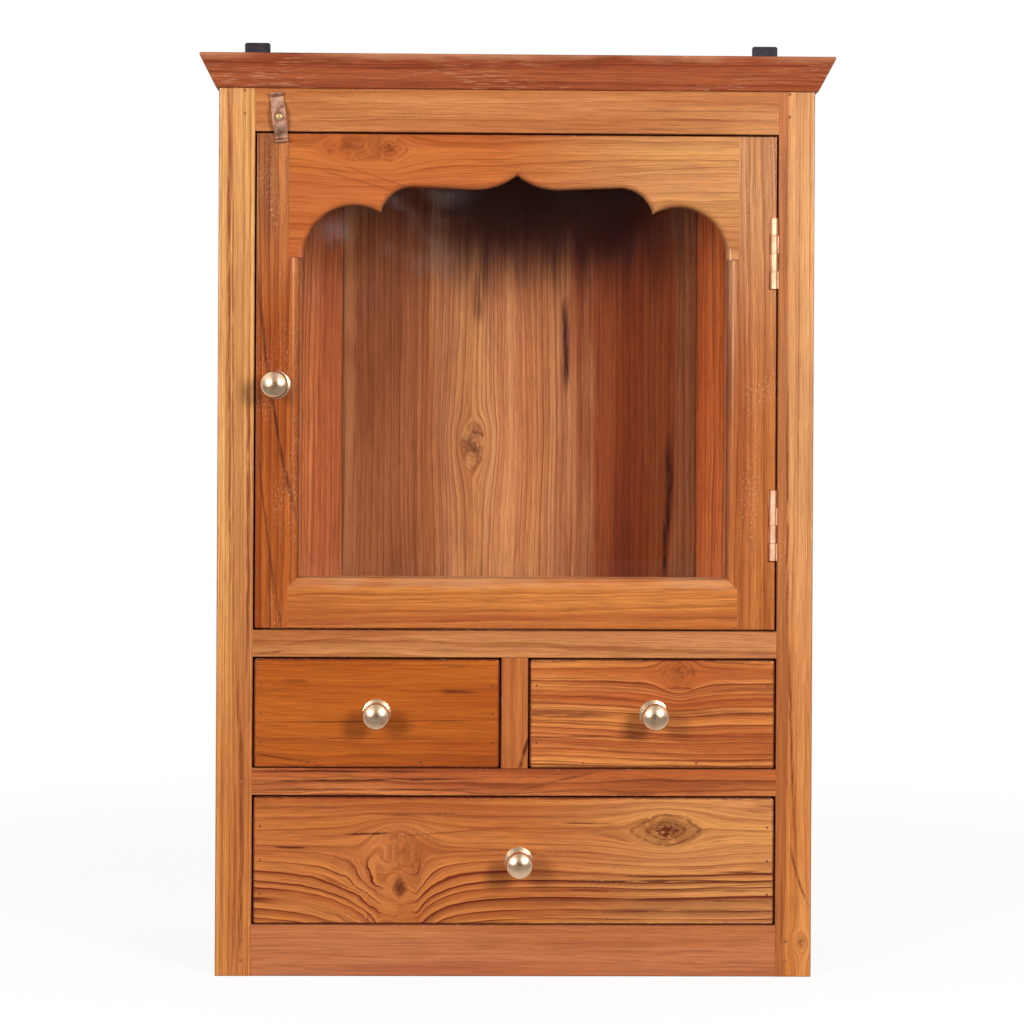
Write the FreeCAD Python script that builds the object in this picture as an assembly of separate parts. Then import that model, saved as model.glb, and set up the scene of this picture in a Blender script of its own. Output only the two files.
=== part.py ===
import FreeCAD, Part
import math
import os

# Teak wall cabinet: a glazed door with a cusped arch above two small drawers and one wide drawer.
# Millimetres. X runs to the right, Y to the back and Z up. The origin is on the base, midway across
# the cabinet and midway between the front of the knobs and the back of the carcass.

# Carcass boards
carcass_width = 428.0
carcass_depth = 200.0
side_thickness = 16.0
board_thickness = 12.0
back_thickness = 10.0
housing_depth = 4.0
left_plank_width = 67.0
right_plank_width = 52.0
plank_gap = 0.4
plank_lap = 6.0
guide_height = 22.0
stop_width = 9.0
stop_thickness = 8.0

# Face frame, from the bottom rail up to the top rail
frame_thickness = 20.0
stile_width = 26.0
divider_width = 19.5
bottom_rail_height = 37.0
large_opening_height = 92.5
lower_rail_height = 19.5
small_opening_height = 79.5
upper_rail_height = 19.5
door_opening_height = 357.0
top_rail_height = 43.0
corner_round = 1.2
edge_round = 0.6

# Mortise and tenon joints of the face frame and of the door, and the pins through them
tenon_length = 15.0
tenon_thickness = 6.0
tenon_setback = 7.0
tenon_shoulder = 4.0
tenon_clearance = 0.15
mortise_extra_depth = 1.0
pin_radius = 1.2
pin_length = 15.0
tall_rail_pin_shares = (0.30, 0.68)
narrow_rail_pin_shares = (0.5,)

# Cornice moulding round the front and both sides of the top
cornice_height = 24.0
cornice_reach = 13.0
cornice_foot = 2.0
cornice_nose = 2.0
cornice_round = 0.8

# Iron strap hangers let into the back
hanger_width = 20.0
hanger_thickness = 2.0
hanger_rise = 35.0
hanger_drop = 58.0
hanger_inset = 4.0
hanger_corner = 2.0
hanger_hole_radius = 3.5
hanger_hole_from_top = 12.0
hanger_screw_from_end = 9.0
hanger_screws_each = 2
hanger_screw_pitch = 26.0
hanger_screw_radius = 1.8
hanger_screw_head_radius = 3.4
hanger_screw_head_height = 1.6
hanger_screw_length = 22.0

# Door frame
door_gap = 1.3
door_thickness = 19.5
door_left_stile_width = 31.0
door_right_stile_width = 35.0
door_bottom_rail_height = 36.5
door_top_rail_height = 89.0
moulding_width = 7.8
moulding_round = 6.5

# Cusped arch cut in the top rail of the door, measured down from the top of the door
arch_apex_drop = 28.5
arch_flat_drop = 38.9
arch_ogee_half_width = 30.0
arch_shoulder_rise = 1.7
arch_shoulder_radius = 24.0
arch_cusp_half_width = 98.0
arch_cusp_drop = 18.5
arch_lobe_rise = 5.0
arch_left_lip = 2.5
arch_right_lip = 0.6
arch_round = 4.0
arch_bands = 6

# Glass and its beads, in a rebate behind the moulding
glass_setback = 10.0
glass_thickness = 3.0
glass_clearance = 0.3
rebate_width = 6.0

# Butt hinges
hinge_length = 50.8
hinge_knuckles = 4
knuckle_diameter = 5.5
knuckle_proud = 1.0
knuckle_offset = 0.6
knuckle_gap = 0.3
hinge_pin_diameter = 2.4
hinge_pin_clearance = 0.05
hinge_clearance = 0.3
leaf_thickness = 1.0
leaf_width = 14.0
upper_hinge_drop = 84.0
lower_hinge_rise = 75.0
hinge_screw_shares = (0.16, 0.5, 0.84)
hinge_screw_inset = 5.0
hinge_screw_radius = 1.2
hinge_screw_head_radius = 2.1
hinge_screw_head_height = 0.9
hinge_screw_length = 11.0

# Turn catch on the top rail
catch_from_stile = 17.3
catch_above_opening = 10.0
catch_arm_length = 18.0
catch_boss_half_length = 4.8
catch_boss_width = 10.0
catch_tip_width = 8.8
catch_thickness = 1.6
catch_boss_height = 3.4
catch_boss_step = 0.9
catch_valley_height = 0.4
catch_lip_rise = 1.8
catch_tip_fall = 0.5
catch_valley_share = 0.74
catch_lip_share = 0.92
catch_curve_shares = (0.0, 0.15, 0.35, 0.55, 0.67, 0.74, 0.83, 0.92, 0.97, 1.0)
catch_tilt_degrees = 7.0
catch_recess_radius = 3.7
catch_recess_depth = 0.8
catch_screw_radius = 1.7
catch_screw_clearance = 0.08
catch_screw_head_radius = 3.1
catch_screw_head_height = 1.7
catch_screw_length = 18.0

# Turned brass knobs
knob_head_radius = 9.75
knob_head_reach = 22.5
knob_dome_radius = 15.5
knob_rim_radius = 3.8
knob_back_degrees = 45.0
knob_neck_radius = 4.6
knob_waist_radius = 3.8
knob_flange_radius = 10.2
knob_flange_rim = 1.0
knob_flange_height = 2.4
knob_stud_radius = 2.0
knob_stud_length = 13.0
door_knob_from_edge = 14.6
door_knob_height = 174.2
right_knob_shift = 0.9
large_knob_shift = 3.5

# Drawers
drawer_front_thickness = 16.0
drawer_side_thickness = 10.0
drawer_back_thickness = 10.0
drawer_bottom_thickness = 8.0
drawer_side_gap = 1.0
drawer_top_gap = 1.0
drawer_bottom_gap = 0.3
drawer_side_drop = 5.0
drawer_stop_gap = 0.3
drawer_front_round = 1.5
drawer_corner_round = 2.5
nail_radius = 0.8
nail_length = 28.0
side_nail_shares = (0.25, 0.53, 0.81)
bottom_nail_shares = (0.22, 0.68)

# Slots of the screw heads, the overrun of every cut, and the distance that counts as touching
slot_width = 0.7
slot_depth = 0.5
overrun = 5.0
touch = 0.001

V = FreeCAD.Vector
pieces = {}

# Places across, worked out from the sizes above
half_width = carcass_width / 2
inner_half = half_width - side_thickness
opening_half = half_width - stile_width
divider_half = divider_width / 2

# Places from front to back
knob_rim_centre = knob_head_radius - knob_rim_radius
knob_dome_drop = math.sqrt((knob_dome_radius - knob_rim_radius) ** 2 - knob_rim_centre**2)
knob_projection = knob_head_reach - knob_dome_drop + knob_dome_radius
face_y = (knob_projection - carcass_depth) / 2
frame_back_y = face_y + frame_thickness
back_y = face_y + carcass_depth
plank_y = back_y - back_thickness

# Levels, from the base up
lower_rail_z = bottom_rail_height + large_opening_height
small_floor_z = lower_rail_z + lower_rail_height
upper_rail_z = small_floor_z + small_opening_height
display_floor_z = upper_rail_z + upper_rail_height
top_rail_z = display_floor_z + door_opening_height
carcass_top_z = top_rail_z + top_rail_height
total_height = carcass_top_z + board_thickness
cornice_z = total_height - cornice_height


def block(x_range, y_range, z_range):
    """A box between two values on each axis, given in either order."""
    ranges = (x_range, y_range, z_range)
    size = [abs(ends[1] - ends[0]) for ends in ranges]
    return Part.makeBox(*size, V(*[min(ends) for ends in ranges]))


def prism(outline, push):
    """A closed polygon of points, pushed along a vector."""
    return Part.Face(Part.makePolygon(outline + outline[:1])).extrude(push)


def rounded(shape, radius, test):
    """Rounds the edges whose ends all pass the test."""
    edges = [edge for edge in shape.Edges if all(test(v.Point) for v in edge.Vertexes)]
    return shape.makeFillet(radius, edges)


def same(a, b):
    return abs(a - b) < touch


def placed(shape, seat, direction):
    """Turns a shape made along +Z to a direction, and moves its origin to the seat."""
    shape.Placement = FreeCAD.Placement(seat, FreeCAD.Rotation(V(0, 0, 1), direction))
    return shape


def slotted(head, head_radius, top):
    slot = block(
        (-head_radius - overrun, head_radius + overrun),
        (-slot_width / 2, slot_width / 2),
        (top - overrun, top + slot_depth),
    )
    return head.cut(slot)


def countersunk_screw(seat, direction, head_radius, head_height, radius, length):
    """A screw whose flat head lies flush with its seat."""
    head = slotted(Part.makeCone(head_radius, radius, head_height), head_radius, 0)
    return placed(head.fuse(Part.makeCylinder(radius, length)), seat, direction)


def round_screw(seat, direction, head_radius, head_height, radius, length):
    """A screw whose domed head stands on its seat."""
    dome_radius = (head_radius**2 + head_height**2) / (2 * head_height)
    dome = Part.makeSphere(dome_radius)
    dome.translate(V(0, 0, dome_radius - head_height))
    dome = dome.common(Part.makeCylinder(head_radius, head_height, V(0, 0, -head_height)))
    head = slotted(dome, head_radius, -head_height)
    return placed(head.fuse(Part.makeCylinder(radius, length)), seat, direction)


def cut_all(shape, cutters):
    for cutter in cutters:
        shape = shape.cut(cutter)
    return shape


# Carcass: two sides, a top board that lies on them, and three boards housed between them
board_y = (frame_back_y, plank_y)
board_x = (-inner_half - housing_depth, inner_half + housing_depth)


def floor_board(top_z):
    return block(board_x, board_y, (top_z - board_thickness, top_z))


pieces["bottom_board"] = floor_board(bottom_rail_height)
pieces["drawer_shelf"] = floor_board(small_floor_z)
pieces["display_floor"] = floor_board(display_floor_z)
top_board = block((-half_width, half_width), (face_y, back_y), (carcass_top_z, total_height))
partition_z = (small_floor_z, display_floor_z - board_thickness)
pieces["drawer_partition"] = block((-divider_half, divider_half), board_y, partition_z)


# Iron hangers, let in flush with the back, and the screws that hold each one to the edge of a side
hanger_x = half_width - hanger_inset - hanger_width / 2
hanger_bottom_z = total_height - hanger_drop
hanger_top_z = total_height + hanger_rise
hanger_hole_z = hanger_top_z - hanger_hole_from_top
hanger_y = (back_y - hanger_thickness, back_y)
hanger_screws = []
hanger_recesses = []
for name, side in (("left_hanger", -1), ("right_hanger", 1)):
    centre_x = side * hanger_x
    screw_x = side * (inner_half + half_width) / 2
    strap_x = (centre_x - hanger_width / 2, centre_x + hanger_width / 2)
    strap = block(strap_x, hanger_y, (hanger_bottom_z, hanger_top_z))
    hanger_recesses.append(strap)
    corners = [e for e in strap.Edges if same(e.Vertexes[0].Z, e.Vertexes[1].Z)
               and same(e.Vertexes[0].X, e.Vertexes[1].X)]
    strap = strap.makeFillet(hanger_corner, corners)
    hole = Part.makeCylinder(
        hanger_hole_radius, hanger_thickness + 2 * overrun,
        V(centre_x, hanger_y[0] - overrun, hanger_hole_z), V(0, 1, 0),
    )
    screws = []
    for row in range(hanger_screws_each):
        seat_z = hanger_bottom_z + hanger_screw_from_end + row * hanger_screw_pitch
        screws.append(countersunk_screw(
            V(screw_x, back_y, seat_z), V(0, -1, 0), hanger_screw_head_radius,
            hanger_screw_head_height, hanger_screw_radius, hanger_screw_length,
        ))
    pieces[name] = cut_all(strap.cut(hole), screws)
    hanger_screws += screws
pieces["hanger_screws"] = Part.makeCompound(hanger_screws)

for name, direction in (("left_side", -1), ("right_side", 1)):
    side = block(
        (direction * inner_half, direction * half_width), (frame_back_y, back_y), (0, carcass_top_z),
    )
    boards = [pieces["bottom_board"], pieces["drawer_shelf"], pieces["display_floor"]]
    pieces[name] = cut_all(side, boards + hanger_recesses + hanger_screws)
pieces["top_board"] = cut_all(top_board, hanger_recesses)

# Back of three upright planks between the sides; the middle one laps behind the edges of the others
left_joint_x = -inner_half + left_plank_width
right_joint_x = inner_half - right_plank_width
plank_edges = {
    "back_plank_left": (-inner_half, left_joint_x - plank_gap / 2),
    "back_plank_centre": (left_joint_x + plank_gap / 2, right_joint_x - plank_gap / 2),
    "back_plank_right": (right_joint_x + plank_gap / 2, inner_half),
}
plank_laps = []
plank_rebates = []
for joint_x, side in ((left_joint_x, -1), (right_joint_x, 1)):
    lap_y = (back_y - back_thickness / 2, back_y)
    lap_z = (0, carcass_top_z)
    lap_start_x, lap_end_x = joint_x - side * plank_lap, joint_x + side * plank_lap
    plank_laps.append(block((lap_start_x, lap_end_x), lap_y, lap_z))
    plank_rebates.append(block((lap_start_x, lap_end_x + side * plank_gap), lap_y, lap_z))
for name, plank_x in plank_edges.items():
    plank = block(plank_x, (plank_y, back_y), (0, carcass_top_z))
    if name == "back_plank_centre":
        plank = plank.multiFuse(plank_laps).removeSplitter()
    else:
        plank = cut_all(plank, plank_rebates)
    pieces[name] = cut_all(plank, hanger_recesses)

# Guides that keep the drawers in line with their openings
pieces["drawer_guides"] = Part.makeCompound([
    block((side * opening_half, side * inner_half), board_y, (floor_z, floor_z + guide_height))
    for side in (-1, 1)
    for floor_z in (bottom_rail_height, small_floor_z)
])

# Strip that the free edge of the door closes against
pieces["door_stop"] = block(
    (-inner_half, -opening_half + stop_width),
    (frame_back_y, frame_back_y + stop_thickness),
    (display_floor_z, top_rail_z),
)


# Face frame: rails with tenons in mortised stiles, and pins through the tenons
frame_y = (face_y, frame_back_y)
tenon_y = (face_y + tenon_setback, face_y + tenon_setback + tenon_thickness)
mortise_y = (tenon_y[0] - tenon_clearance, tenon_y[1] + tenon_clearance)


def tenons(half_length, z_range):
    """The two tenons of a rail that is centred on the cabinet."""
    z_tenon = (z_range[0] + tenon_shoulder, z_range[1] - tenon_shoulder)
    return [
        block((side * half_length, side * (half_length + tenon_length)), tenon_y, z_tenon)
        for side in (-1, 1)
    ]


def mortises(half_length, z_range):
    z_tenon = (z_range[0] + tenon_shoulder, z_range[1] - tenon_shoulder)
    z_mortise = (z_tenon[0] - tenon_clearance, z_tenon[1] + tenon_clearance)
    depth = tenon_length + mortise_extra_depth
    return [
        block((side * half_length, side * (half_length + depth)), mortise_y, z_mortise)
        for side in (-1, 1)
    ]


rails = {
    "frame_bottom_rail": ((0, bottom_rail_height), tall_rail_pin_shares),
    "frame_lower_rail": ((lower_rail_z, small_floor_z), narrow_rail_pin_shares),
    "frame_upper_rail": ((upper_rail_z, display_floor_z), narrow_rail_pin_shares),
    "frame_top_rail": ((top_rail_z, carcass_top_z), tall_rail_pin_shares),
}
frame_pins = []
frame_mortises = []
for name, (rail_z, pin_shares) in rails.items():
    frame_mortises += mortises(opening_half, rail_z)
    for share in pin_shares:
        for side in (-1, 1):
            start = V(
                side * (opening_half + tenon_length / 2), face_y,
                rail_z[0] + share * (rail_z[1] - rail_z[0]),
            )
            frame_pins.append(Part.makeCylinder(pin_radius, pin_length, start, V(0, 1, 0)))
pieces["frame_pins"] = Part.makeCompound(frame_pins)

# The divider stands between the two middle rails on a stub tenon at each end
divider = block((-divider_half, divider_half), frame_y, (small_floor_z, upper_rail_z))
divider = rounded(divider, edge_round, lambda p: same(p.y, face_y) and same(abs(p.x), divider_half))
stub_x = (-divider_half + tenon_shoulder, divider_half - tenon_shoulder)
stub_length = tenon_thickness
stubs = [
    block(stub_x, tenon_y, (upper_rail_z, upper_rail_z + stub_length)),
    block(stub_x, tenon_y, (small_floor_z, small_floor_z - stub_length)),
]
pieces["frame_divider"] = divider.multiFuse(stubs).removeSplitter()

for name, spec in rails.items():
    rail_z = spec[0]
    bar = block((-opening_half, opening_half), frame_y, rail_z)
    long_edges = [
        e for e in bar.Edges
        if same(e.Vertexes[0].Z, e.Vertexes[1].Z)
        and all(same(v.Y, face_y) and v.Z < carcass_top_z - touch for v in e.Vertexes)
    ]
    bar = bar.makeFillet(edge_round, long_edges)
    bar = bar.multiFuse(tenons(opening_half, rail_z)).removeSplitter()
    pieces[name] = cut_all(bar, frame_pins + stubs)

# Butt hinges: the place of the pin, and the two leaves with their own knuckles
hinge_x = opening_half - knuckle_offset - knuckle_diameter / 2
hinge_y = face_y - knuckle_proud
door_bottom_z = display_floor_z + door_gap
door_top_z = top_rail_z - door_gap
hinge_low_ends = {
    "upper": door_top_z - upper_hinge_drop - hinge_length / 2,
    "lower": door_bottom_z + lower_hinge_rise - hinge_length / 2,
}
knuckle_length = hinge_length / hinge_knuckles
frame_leaf_x = (opening_half - leaf_thickness, opening_half)
door_leaf_left = hinge_x - knuckle_diameter / 2 - hinge_clearance
door_leaf_x = (door_leaf_left, door_leaf_left + leaf_thickness)
leaf_y = (hinge_y + knuckle_diameter / 2 + hinge_clearance, hinge_y + leaf_width)


def leaf(low_z, leaf_x, first_knuckle):
    """One leaf: a plate, and every second knuckle counted from the bottom."""
    parts = [block(leaf_x, leaf_y, (low_z, low_z + hinge_length))]
    for index in range(first_knuckle, hinge_knuckles, 2):
        knuckle_z = low_z + index * knuckle_length + knuckle_gap / 2
        height = knuckle_length - knuckle_gap
        parts.append(Part.makeCylinder(knuckle_diameter / 2, height, V(hinge_x, hinge_y, knuckle_z)))
        parts.append(block(leaf_x, (hinge_y, leaf_y[0]), (knuckle_z, knuckle_z + height)))
    made = parts[0].multiFuse(parts[1:]).removeSplitter()
    bore_radius = hinge_pin_diameter / 2 + hinge_pin_clearance
    bore = Part.makeCylinder(
        bore_radius, hinge_length + 2 * overrun, V(hinge_x, hinge_y, low_z - overrun),
    )
    return made.cut(bore)


def leaf_screws(low_z, seat_x, direction):
    return [
        countersunk_screw(
            V(seat_x, leaf_y[1] - hinge_screw_inset, low_z + share * hinge_length), V(direction, 0, 0),
            hinge_screw_head_radius, hinge_screw_head_height, hinge_screw_radius, hinge_screw_length,
        )
        for share in hinge_screw_shares
    ]


frame_hinge_screws = []
door_hinge_screws = []
hinge_pins = []
hinge_notches = []
for name, low_z in hinge_low_ends.items():
    into_frame = leaf_screws(low_z, frame_leaf_x[0], 1)
    into_door = leaf_screws(low_z, door_leaf_x[1], -1)
    pieces[name + "_hinge_frame_leaf"] = cut_all(leaf(low_z, frame_leaf_x, 0), into_frame)
    pieces[name + "_hinge_door_leaf"] = cut_all(leaf(low_z, door_leaf_x, 1), into_door)
    frame_hinge_screws += into_frame
    door_hinge_screws += into_door
    hinge_pins.append(Part.makeCylinder(hinge_pin_diameter / 2, hinge_length, V(hinge_x, hinge_y, low_z)))
    hinge_notches.append(block(
        (door_leaf_x[0], opening_half),
        (face_y - overrun, leaf_y[1] + hinge_clearance),
        (low_z - hinge_clearance, low_z + hinge_length + hinge_clearance),
    ))
pieces["hinge_pins"] = Part.makeCompound(hinge_pins)
pieces["frame_hinge_screws"] = Part.makeCompound(frame_hinge_screws)
pieces["door_hinge_screws"] = Part.makeCompound(door_hinge_screws)

for name, side in (("frame_left_stile", -1), ("frame_right_stile", 1)):
    stile = block((side * opening_half, side * half_width), frame_y, (0, carcass_top_z))
    stile = rounded(stile, corner_round, lambda p: same(p.y, face_y) and same(abs(p.x), half_width))
    pieces[name] = cut_all(stile, frame_mortises + frame_pins + frame_hinge_screws)


# Cornice: one slanted section along the front and both sides, mitred at the front corners
def cornice_profile(point):
    """The section, as points from the wall outwards, drawn through a function of reach and height."""
    return [
        point(0, cornice_z),
        point(cornice_foot, cornice_z),
        point(cornice_reach, total_height - cornice_nose),
        point(cornice_reach, total_height),
        point(0, total_height),
    ]


far = cornice_reach + overrun
front_stick = prism(
    cornice_profile(lambda reach, z: V(-half_width - far, face_y - reach, z)),
    V(2 * (half_width + far), 0, 0),
)
front_stick = rounded(
    front_stick, cornice_round,
    lambda p: same(p.y, face_y - cornice_reach)
    or (same(p.y, face_y - cornice_foot) and same(p.z, cornice_z)),
)
front_wedge = prism(
    [
        V(-half_width, face_y, cornice_z), V(half_width, face_y, cornice_z),
        V(half_width + far, face_y - far, cornice_z), V(-half_width - far, face_y - far, cornice_z),
    ],
    V(0, 0, cornice_height),
)
pieces["cornice_front"] = front_stick.common(front_wedge)
for name, side in (("cornice_left", -1), ("cornice_right", 1)):
    stick = prism(
        cornice_profile(lambda reach, z: V(side * (half_width + reach), face_y - far, z)),
        V(0, carcass_depth + far, 0),
    )
    stick = rounded(
        stick, cornice_round,
        lambda p: same(abs(p.x), half_width + cornice_reach)
        or (same(abs(p.x), half_width + cornice_foot) and same(p.z, cornice_z)),
    )
    wedge = prism(
        [
            V(side * half_width, face_y, cornice_z), V(side * (half_width + far), face_y - far, cornice_z),
            V(side * (half_width + far), back_y, cornice_z), V(side * half_width, back_y, cornice_z),
        ],
        V(0, 0, cornice_height),
    )
    pieces[name] = stick.common(wedge)


# Turn catch: a wavy brass strip on one screw, with a stepped boss and a rolled lip at each end
catch_arm_height = catch_boss_height - catch_boss_step


def catch_height(share):
    """Height of the underside along an arm, from the boss at 0 to the tip at 1."""
    if share <= catch_valley_share:
        fall = (1 + math.cos(math.pi * share / catch_valley_share)) / 2
        return catch_valley_height + (catch_arm_height - catch_valley_height) * fall
    if share <= catch_lip_share:
        climb = (share - catch_valley_share) / (catch_lip_share - catch_valley_share)
        return catch_valley_height + catch_lip_rise * (1 - math.cos(math.pi * climb)) / 2
    past_lip = (share - catch_lip_share) / (1 - catch_lip_share)
    return catch_valley_height + catch_lip_rise - catch_tip_fall * past_lip**2


def arm_curve(side, lift):
    arm = catch_arm_length - catch_boss_half_length
    points = [
        V(-catch_boss_width / 2, -catch_height(share) - lift, side * (catch_boss_half_length + share * arm))
        for share in catch_curve_shares
    ]
    curve = Part.BSplineCurve()
    curve.interpolate(points)
    return curve.toShape()


def joined(first, last):
    return Part.LineSegment(first, last).toShape()


catch_edges = []
for level in (0, catch_thickness):
    boss_y = -catch_boss_height - level
    catch_edges.append(joined(
        V(-catch_boss_width / 2, boss_y, -catch_boss_half_length),
        V(-catch_boss_width / 2, boss_y, catch_boss_half_length),
    ))
for side in (-1, 1):
    under, over = arm_curve(side, 0), arm_curve(side, catch_thickness)
    catch_edges += [under, over, joined(under.Vertexes[-1].Point, over.Vertexes[-1].Point)]
    for arm in (under, over):
        root = arm.Vertexes[0].Point
        catch_edges.append(joined(root, root - V(0, catch_boss_step, 0)))
strip = Part.Face(Part.Wire(Part.__sortEdges__(catch_edges))).extrude(V(catch_boss_width, 0, 0))
plan = []
for side in (1, -1):
    for along, width in (
        (-catch_arm_length, catch_tip_width),
        (-catch_boss_half_length, catch_boss_width),
        (catch_boss_half_length, catch_boss_width),
        (catch_arm_length, catch_tip_width),
    ):
        plan.append(V(side * width / 2, overrun, side * along))
catch_reach = catch_boss_height + catch_thickness + catch_lip_rise
strip = strip.common(prism(plan, V(0, -catch_reach - 2 * overrun, 0)))
recess_y = -catch_boss_height - catch_thickness + catch_recess_depth
recess = Part.makeCylinder(catch_recess_radius, overrun, V(0, recess_y, 0), V(0, -1, 0))
hole_radius = catch_screw_radius + catch_screw_clearance
hole = Part.makeCylinder(hole_radius, catch_reach + 2 * overrun, V(0, overrun, 0), V(0, -1, 0))
strip = strip.cut(recess).cut(hole)
catch_seat = V(-opening_half + catch_from_stile, face_y, top_rail_z + catch_above_opening)
strip.Placement = FreeCAD.Placement(catch_seat, FreeCAD.Rotation(V(0, -1, 0), catch_tilt_degrees))
pieces["turn_catch"] = strip
head_seat = catch_seat + V(0, recess_y - catch_screw_clearance, 0)
catch_screw = round_screw(
    head_seat, V(0, 1, 0), catch_screw_head_radius, catch_screw_head_height,
    catch_screw_radius, catch_screw_length,
)
pieces["catch_screw"] = catch_screw
pieces["frame_top_rail"] = pieces["frame_top_rail"].cut(catch_screw)


# Turned knob with its own stud, made once and set into the door and the drawer fronts
def knob(seat):
    """A flange, a waist and a domed head, turned about the line that points out of the front."""
    def out(radius, reach):
        return V(radius, -reach, 0)

    def on_dome(turn):
        return out(
            knob_dome_radius * math.sin(turn),
            knob_head_reach - knob_dome_drop + knob_dome_radius * math.cos(turn),
        )

    dome_turn = math.asin(knob_rim_centre / (knob_dome_radius - knob_rim_radius))
    back_turn = math.radians(knob_back_degrees)
    back_radius = knob_rim_centre + knob_rim_radius * math.cos(back_turn)
    back_reach = knob_head_reach - knob_rim_radius * math.sin(back_turn)
    neck_reach = back_reach - (back_radius - knob_neck_radius) * math.tan(back_turn)
    outline = [
        joined(out(0, -knob_stud_length), out(knob_stud_radius, -knob_stud_length)),
        joined(out(knob_stud_radius, -knob_stud_length), out(knob_stud_radius, 0)),
        joined(out(knob_stud_radius, 0), out(knob_flange_radius, 0)),
        joined(out(knob_flange_radius, 0), out(knob_flange_radius, knob_flange_rim)),
        joined(out(knob_flange_radius, knob_flange_rim), out(knob_neck_radius, knob_flange_height)),
        Part.Arc(
            out(knob_neck_radius, knob_flange_height),
            out(knob_waist_radius, (knob_flange_height + neck_reach) / 2),
            out(knob_neck_radius, neck_reach),
        ).toShape(),
        joined(out(knob_neck_radius, neck_reach), out(back_radius, back_reach)),
        Part.Arc(
            out(back_radius, back_reach), out(knob_head_radius, knob_head_reach), on_dome(dome_turn),
        ).toShape(),
        Part.Arc(on_dome(dome_turn), on_dome(dome_turn / 2), out(0, knob_projection)).toShape(),
        joined(out(0, knob_projection), out(0, -knob_stud_length)),
    ]
    made = Part.Face(Part.Wire(outline)).revolve(V(0, 0, 0), V(0, 1, 0), 360)
    made.translate(seat)
    return made


# Door frame: places of its edges
door_y = (face_y, face_y + door_thickness)
rebate_y = (face_y + glass_setback, door_y[1])
door_left_x = -opening_half + door_gap
door_right_x = opening_half - door_gap
left_inner_x = door_left_x + door_left_stile_width
right_inner_x = door_right_x - door_right_stile_width
left_shoulder_x = left_inner_x - moulding_width
right_shoulder_x = right_inner_x + moulding_width
bottom_rail_top_z = door_bottom_z + door_bottom_rail_height
top_rail_end_z = door_top_z - door_top_rail_height
apex_z = door_top_z - arch_apex_drop
arch_flat_z = door_top_z - arch_flat_drop
arch_shoulder_z = arch_flat_z + arch_shoulder_rise
cusp_z = arch_shoulder_z - arch_cusp_drop
rebate_top_z = apex_z + rebate_width
rebate_bottom_z = bottom_rail_top_z - rebate_width
rebate_x = (left_inner_x - rebate_width, right_inner_x + rebate_width)
rebate = block(rebate_x, (rebate_y[0], rebate_y[1] + overrun), (rebate_bottom_z, rebate_top_z))

# Tenons of the door rails, clear of the rebate
bottom_tenon_z = (door_bottom_z + tenon_shoulder, rebate_bottom_z - tenon_shoulder)
top_tenon_z = (rebate_top_z + tenon_shoulder, door_top_z - tenon_shoulder)


def door_tenons(z_range, clearance, depth):
    y_range = (tenon_y[0] - clearance, tenon_y[1] + clearance)
    heights = (z_range[0] - clearance, z_range[1] + clearance)
    return [
        block((left_shoulder_x, left_shoulder_x - depth), y_range, heights),
        block((right_shoulder_x, right_shoulder_x + depth), y_range, heights),
    ]


mortise_depth = tenon_length + mortise_extra_depth
door_mortises = []
for z_range in (bottom_tenon_z, top_tenon_z):
    door_mortises += door_tenons(z_range, tenon_clearance, mortise_depth)

# Knob of the door, centred on its left stile
door_knob = knob(V(door_left_x + door_knob_from_edge, face_y, door_bottom_z + door_knob_height))
pieces["door_knob"] = door_knob

# Stiles: the moulded inner edge stops under the top rail, and is mitred to the bottom rail
for name, outer_x, inner_x, shoulder_x in (
    ("door_left_stile", door_left_x, left_inner_x, left_shoulder_x),
    ("door_right_stile", door_right_x, right_inner_x, right_shoulder_x),
):
    stile = block((outer_x, inner_x), door_y, (door_bottom_z, door_top_z))
    stile = rounded(stile, moulding_round, lambda p: same(p.y, face_y) and same(p.x, inner_x))
    stile = rounded(stile, edge_round, lambda p: same(p.y, face_y) and same(p.x, outer_x))
    past = inner_x + (overrun if inner_x > shoulder_x else -overrun)
    housing = block(
        (shoulder_x, past), (door_y[0] - overrun, door_y[1] + overrun),
        (top_rail_end_z, door_top_z + overrun),
    )
    mitre_slope = moulding_width / abs(inner_x - shoulder_x)
    mitre = prism(
        [
            V(shoulder_x, door_y[0] - overrun, door_bottom_z - overrun),
            V(past, door_y[0] - overrun, door_bottom_z - overrun),
            V(past, door_y[0] - overrun, bottom_rail_top_z + mitre_slope * abs(past - inner_x)),
            V(shoulder_x, door_y[0] - overrun, bottom_rail_top_z - moulding_width),
        ],
        V(0, door_thickness + 2 * overrun, 0),
    )
    pieces[name] = cut_all(
        stile, [housing, mitre, rebate] + door_mortises + hinge_notches + door_hinge_screws + [door_knob],
    )

# Bottom rail
rail = block((left_shoulder_x, right_shoulder_x), door_y, (door_bottom_z, bottom_rail_top_z))
rail = rounded(rail, moulding_round, lambda p: same(p.y, face_y) and same(p.z, bottom_rail_top_z))
rail = rounded(rail, edge_round, lambda p: same(p.y, face_y) and same(p.z, door_bottom_z))
for shoulder_x, inner_x in ((left_shoulder_x, left_inner_x), (right_shoulder_x, right_inner_x)):
    corner = prism(
        [
            V(shoulder_x, door_y[0] - overrun, bottom_rail_top_z - moulding_width),
            V(inner_x, door_y[0] - overrun, bottom_rail_top_z),
            V(shoulder_x, door_y[0] - overrun, bottom_rail_top_z),
        ],
        V(0, door_thickness + 2 * overrun, 0),
    )
    rail = rail.cut(corner)
pieces["door_bottom_rail"] = rail.cut(rebate).multiFuse(door_tenons(bottom_tenon_z, 0, tenon_length))


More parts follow.
